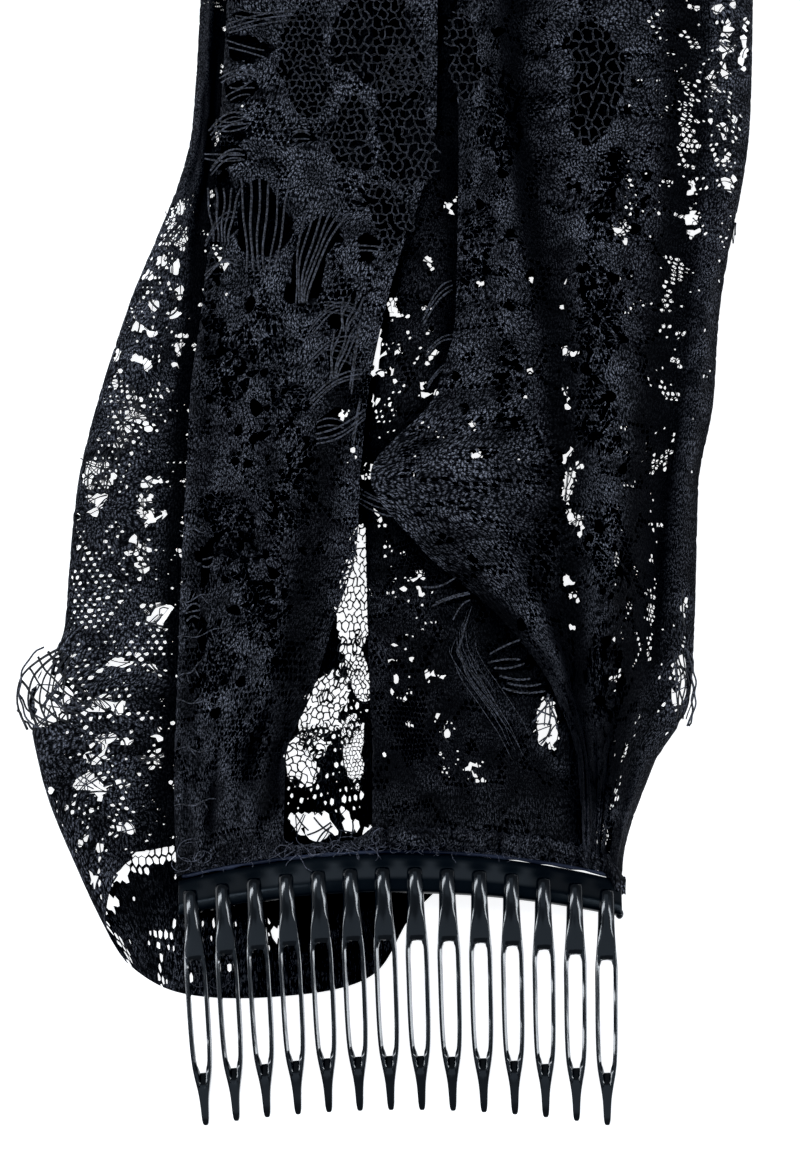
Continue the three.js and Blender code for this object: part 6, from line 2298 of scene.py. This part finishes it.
def stitch_group() -> bpy.types.NodeTree:
    """Makes the group of fine knit: short slanted stitches and curled fibres, on places in millimetres.

    Returns:
        The group.
    """
    tree = new_group("knit_stitches", {"Wale": 0.3, "Course": 0.62, "Slant": 6.0}, ("Height", "Thread"))
    n = Nodes(tree)
    entry, result = tree.nodes["Group Input"].outputs, tree.nodes["Group Output"]
    drift = n.add("ShaderNodeTexNoise", {"Vector": entry["Place"], "Scale": 0.09, "Detail": 2.0})
    split = n.add("ShaderNodeSeparateXYZ", {"Vector": entry["Place"]})
    sides = n.add("ShaderNodeSeparateXYZ", {"Vector": drift.outputs["Color"]})
    across = n.math("ADD", split.outputs["X"], n.math("MULTIPLY", sides.outputs["X"], entry["Slant"]))
    down = n.math("ADD", split.outputs["Y"], n.math("MULTIPLY", sides.outputs["Y"], entry["Slant"]))
    place = n.add("ShaderNodeCombineXYZ", {
        "X": n.math("DIVIDE", across, entry["Wale"]), "Y": n.math("DIVIDE", down, entry["Course"])})
    loops = n.add("ShaderNodeTexVoronoi", {"Vector": place.outputs[0], "Scale": 1.0, "Randomness": 0.85},
                  voronoi_dimensions="2D")
    curls = n.add("ShaderNodeTexNoise", {
        "Vector": entry["Place"], "Scale": 2.4, "Detail": 2.0, "Roughness": 0.6})
    off = n.math("ABSOLUTE", n.math("SUBTRACT", curls.outputs["Fac"], 0.5))
    ridge = n.math("SUBTRACT", 1.0, n.math("MULTIPLY", off, 8.5))
    body = n.between(loops.outputs["Distance"], 0.1, 0.62, 1.0, 0.0)
    hairs = n.math("MULTIPLY", n.math("MAXIMUM", ridge, 0.0), 0.6)
    height = n.math("ADD", n.math("MULTIPLY", body, 0.6), hairs)
    tree.links.new(height, result.inputs["Height"])
    tree.links.new(n.between(height, 0.25, 1.05, 0.0, 1.0), result.inputs["Thread"])
    return tree


def grain_group() -> bpy.types.NodeTree:
    """Makes the group of a moulded surface: broad unevenness and fine grain, on places in metres.

    Returns:
        The group.
    """
    tree = new_group("moulded_grain", {"Broad": 120.0, "Fine": 1400.0}, ("Height", "Smear"))
    n = Nodes(tree)
    entry, result = tree.nodes["Group Input"].outputs, tree.nodes["Group Output"]
    broad = n.add("ShaderNodeTexNoise", {"Vector": entry["Place"], "Scale": entry["Broad"], "Detail": 2.0})
    fine = n.add("ShaderNodeTexNoise", {"Vector": entry["Place"], "Scale": entry["Fine"], "Detail": 2.0})
    height = n.math("ADD", broad.outputs["Fac"], n.math("MULTIPLY", fine.outputs["Fac"], 0.15))
    tree.links.new(height, result.inputs["Height"])
    tree.links.new(n.between(broad.outputs["Fac"], 0.35, 0.65, 0.0, 1.0), result.inputs["Smear"])
    return tree


def new_material(name: str) -> tuple[bpy.types.Material, Nodes, bpy.types.Node]:
    """Makes a node material and gives it with a node helper and its Principled shader."""
    material = bpy.data.materials.new(name)
    material.use_nodes = True
    return material, Nodes(material.node_tree), material.node_tree.nodes["Principled BSDF"]


@dataclass(frozen=True)
class LaceFinish:
    """Dull black knitted yarn with a faint blue cast, in stitches that follow the flat sheet."""

    name: str = "black_lace"
    lit: tuple[float, float, float] = (0.28, 0.298, 0.37)
    deep: tuple[float, float, float] = (0.0003, 0.0003, 0.0005)
    wale: float = 0.3
    course: float = 0.85
    relief: float = 0.1

    def material(self, stitches: bpy.types.NodeTree) -> bpy.types.Material:
        """Makes the material.

        Args:
            stitches: The group of fine knit.

        Returns:
            The material.
        """
        material, n, shader = new_material(self.name)
        flat = n.add("ShaderNodeUVMap", uv_map="flat")
        span = (UV_SPAN, UV_SPAN, 1)
        place = n.add("ShaderNodeMapping", {"Vector": flat.outputs[0], "Scale": span})
        knit = n.add("ShaderNodeGroup", node_tree=stitches)
        knit.inputs["Wale"].default_value = self.wale
        knit.inputs["Course"].default_value = self.course
        n.tree.links.new(place.outputs[0], knit.inputs["Place"])
        # Painted shade in the base colour: patchy noise, partly the lace's own tone and partly painted shade
        # of small folds, and the stored shade attribute blend the stitches from the lit colour towards the
        # deep one
        patches = n.add("ShaderNodeTexNoise", {"Vector": place.outputs[0], "Scale": 0.2, "Detail": 3.0})
        patchy_tone_and_shade = n.between(patches.outputs["Fac"], 0.34, 0.66, 0.22, 1.3)
        shade = n.add("ShaderNodeAttribute", attribute_name="shade").outputs["Fac"]
        light = n.math("MULTIPLY", patchy_tone_and_shade, n.between(shade, 0, 1, 1.0, 0.02))
        share = n.math("MULTIPLY", n.math("POWER", knit.outputs["Thread"], 3.2), light)
        colour = n.blend(share, (*self.deep, 1), (*self.lit, 1))
        n.tree.links.new(colour, shader.inputs["Base Color"])
        n.tree.links.new(n.between(knit.outputs["Thread"], 0, 1, 0.95, 0.72), shader.inputs["Roughness"])
        bump = n.add("ShaderNodeBump", {
            "Height": knit.outputs["Height"], "Strength": 0.8, "Distance": self.relief * MM})
        n.tree.links.new(bump.outputs[0], shader.inputs["Normal"])
        shader.inputs["Sheen Weight"].default_value = 0.03
        shader.inputs["Sheen Roughness"].default_value = 0.5
        shader.inputs["Sheen Tint"].default_value = (0.55, 0.6, 0.85, 1)
        shader.inputs["Specular IOR Level"].default_value = 0.1
        return material


@dataclass(frozen=True)
class ThreadFinish:
    """Twisted yarn, for bare threads and fibres."""

    name: str
    lit: tuple[float, float, float]
    deep: tuple[float, float, float]
    roughness: float = 0.75

    def material(self) -> bpy.types.Material:
        """Makes the material.

        Returns:
            The material.
        """
        material, n, shader = new_material(self.name)
        place = n.add("ShaderNodeTexCoord").outputs["Object"]
        twist = n.add("ShaderNodeTexNoise", {"Vector": place, "Scale": 2600.0, "Detail": 2.0})
        share = n.between(twist.outputs["Fac"], 0.42, 0.62, 0.0, 1.0)
        n.tree.links.new(n.blend(share, (*self.deep, 1), (*self.lit, 1)), shader.inputs["Base Color"])
        rough = n.between(twist.outputs["Fac"], 0.3, 0.7, self.roughness + 0.1, self.roughness - 0.15)
        n.tree.links.new(rough, shader.inputs["Roughness"])
        bump = n.add("ShaderNodeBump", {
            "Height": twist.outputs["Fac"], "Strength": 0.5, "Distance": 0.05 * MM})
        n.tree.links.new(bump.outputs[0], shader.inputs["Normal"])
        return material


@dataclass(frozen=True)
class MouldedFinish:
    """Smooth moulded plastic or dried glue, a little uneven, under a glossy skin."""

    name: str
    colour: tuple[float, float, float]
    smeared: tuple[float, float, float]
    roughness: tuple[float, float]
    relief: float
    coat: float = 0.0
    masked: bool = False

    def material(self, grain: bpy.types.NodeTree) -> bpy.types.Material:
        """Makes the material.

        Args:
            grain: The group of a moulded surface.

        Returns:
            The material.
        """
        material, n, shader = new_material(self.name)
        place = n.add("ShaderNodeTexCoord").outputs["Object"]
        surface = n.add("ShaderNodeGroup", node_tree=grain)
        n.tree.links.new(place, surface.inputs["Place"])
        smear = surface.outputs["Smear"]
        n.tree.links.new(n.blend(smear, (*self.colour, 1), (*self.smeared, 1)), shader.inputs["Base Color"])
        n.tree.links.new(n.between(smear, 0, 1, *self.roughness), shader.inputs["Roughness"])
        bump = n.add("ShaderNodeBump", {
            "Height": surface.outputs["Height"], "Strength": 0.35, "Distance": self.relief * MM})
        n.tree.links.new(bump.outputs[0], shader.inputs["Normal"])
        shader.inputs["Coat Weight"].default_value = self.coat
        # The stored painted gloss sets the coat: painted shade above the comb's tooth roots, painted
        # highlights along the glue
        if self.masked:
            painted_gloss = n.add("ShaderNodeAttribute", attribute_name="painted_gloss").outputs["Fac"]
            n.tree.links.new(n.math("MULTIPLY", painted_gloss, self.coat), shader.inputs["Coat Weight"])
        shader.inputs["Coat Roughness"].default_value = 0.12
        shader.inputs["Coat Tint"].default_value = (0.8, 0.9, 1.0, 1)
        shader.inputs["Specular IOR Level"].default_value = 0.06
        shader.inputs["Specular Tint"].default_value = (0.7, 0.85, 1.0, 1)
        return material


@dataclass
class Studio:
    """The pale table, the soft lights and the camera."""

    layout: Layout
    view: Viewpoint

    def build(self) -> None:
        """Makes the table, the lights, the world and the camera."""
        self._table()
        self._world()
        self._light("overhead", (0, 60, 1150), (1300, 900), 2.1, (0.66, 0.82, 1.0))
        self._light("left_softbox", (-520, 0, 470), (80, 700), 3.6, (0.9, 0.95, 1.0))
        self._light("right_softbox", (600, -60, 350), (70, 600), 2.6, (0.9, 0.95, 1.0))
        self._camera()
        scene = bpy.context.scene
        scene.view_settings.view_transform = "Standard"
        scene.view_settings.look = "None"
        scene.view_settings.use_curve_mapping = True
        scene.view_settings.curve_mapping.black_level = (0.0025, 0.0025, 0.0025)

    def _table(self) -> None:
        """Makes the table top, which glows softly as a light table does."""
        start_modelling()
        bpy.ops.mesh.primitive_plane_add(size=6.0, location=(0, 0, 0))
        table = bpy.context.object
        table.name = table.data.name = "table_top"
        material, n, shader = new_material("pale_table")
        place = n.add("ShaderNodeTexCoord").outputs["Object"]
        speck = n.add("ShaderNodeTexNoise", {"Vector": place, "Scale": 60.0, "Detail": 2.0})
        colour = n.blend(speck.outputs["Fac"], (0.6, 0.61, 0.62, 1), (0.64, 0.64, 0.65, 1))
        n.tree.links.new(colour, shader.inputs["Base Color"])
        n.tree.links.new(colour, shader.inputs["Emission Color"])
        shader.inputs["Emission Strength"].default_value = 1.45
        shader.inputs["Roughness"].default_value = 0.9
        shader.inputs["Specular IOR Level"].default_value = 0.1
        table.data.materials.append(material)

    def _world(self) -> None:
        """Makes an even pale surrounding."""
        world = bpy.data.worlds.new("studio")
        world.use_nodes = True
        background = world.node_tree.nodes["Background"]
        background.inputs["Color"].default_value = (0.9, 0.95, 1.0, 1)
        background.inputs["Strength"].default_value = 0.2
        bpy.context.scene.world = world

    def _light(self, name: str, place: tuple[float, float, float], size: tuple[float, float], power: float,
               colour: tuple[float, float, float]) -> None:
        """Adds a rectangular light at a layout place, aimed at the veil's middle.

        Args:
            name: The light's name.
            place: Its layout place.
            size: Its width and height in millimetres.
            power: Its power in watts.
            colour: Its colour.
        """
        data = bpy.data.lights.new(name, "AREA")
        data.shape = "RECTANGLE"
        data.size, data.size_y = size[0] * MM, size[1] * MM
        data.energy, data.color = power, colour
        light = bpy.data.objects.new(name, data)
        bpy.context.scene.collection.objects.link(light)
        light.location = self.layout.place(*place)
        aim = self.layout.place(0, 50, 0) - light.location
        light.rotation_euler = aim.to_track_quat("-Z", "Y").to_euler()

    def _camera(self) -> None:
        """Sets up the camera at the viewpoint."""
        data = bpy.data.cameras.new("camera")
        data.lens, data.sensor_width = self.view.lens, self.view.sensor
        camera = bpy.data.objects.new("camera", data)
        bpy.context.scene.collection.objects.link(camera)
        camera.location = self.layout.place(*self.view.eye())
        camera.rotation_euler = Vector(self.view.forward()).to_track_quat("-Z", "Y").to_euler()
        bpy.context.scene.camera = camera


def dress(piece: bpy.types.Object, material: bpy.types.Material, slot: str, *nodes: str) -> bpy.types.Object:
    """Gives a piece its finish and its place in the frame.

    Args:
        piece: The new piece.
        material: Its finish.
        slot: The name of a material slot; not used.
        nodes: The solids that it stands for.

    Returns:
        The piece.
    """
    piece.data.materials.clear()
    piece.data.materials.append(material)
    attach(piece, BODY)
    if nodes:
        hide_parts(*nodes)
    triangles = sum(len(p.vertices) - 2 for p in piece.data.polygons)
    LOG.info("%s: %d triangles", piece.name, triangles)
    return piece


def main() -> None:
    """Builds the whole scene."""
    logging.basicConfig(level=logging.INFO, format="%(name)s: %(message)s")
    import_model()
    layout, view = Layout.from_frame(), Viewpoint()
    LOG.info("layout shift %.3f %.3f", layout.shift_x, layout.shift_y)
    Studio(layout, view).build()
    drape = Drape()
    LOG.info("flat sheet %.1f by %.1f mm", drape.width, drape.length)

    lace = LaceFinish().material(stitch_group())
    thread = ThreadFinish("lace_thread", (0.075, 0.082, 0.11), (0.002, 0.002, 0.003)).material()
    fibre = ThreadFinish("pale_fibre", (0.13, 0.14, 0.19), (0.02, 0.022, 0.034), 0.6).material()
    grain = grain_group()
    plastic = MouldedFinish("comb_plastic", (0.002, 0.0026, 0.0036), (0.003, 0.0038, 0.005),
                            (0.2, 0.28), 0.06, 0.72, True)
    glue = MouldedFinish("dried_glue", (0.006, 0.007, 0.013), (0.03, 0.036, 0.06),
                         (0.12, 0.3), 0.05, 0.6, True)

    dress(Comb(layout).build(), plastic.material(grain), "comb_plastic", "comb")
    dress(GlueBead(layout).build(), glue.material(grain), "dried_glue", "glue_line")
    shaded = ThreadFinish("shaded_thread", (0.016, 0.018, 0.025), (0.001, 0.001, 0.0015)).material()
    threads = [dress(piece, shaded if piece.name in SHADED_THREADS else thread, "lace")
               for piece in LaceThreads(layout, drape, view).build()]
    fibres = dress(StrayFibres(layout).build(), fibre, "lace")
    edge = dress(GatheredEdge(layout).build(), lace, "lace", "gathered_heading")
    for piece, width, area in LaceCloth(layout, drape, view).build():
        dress(piece, lace, "lace", "lace_veil")
        flat = (width, drape.length * MM)
        open_share = 1 - area / (flat[0] * flat[1])
        LOG.info("%s: flat %.4f by %.4f m, open share %.2f", piece.name, *flat, open_share)


if __name__ == "__main__":
    main()
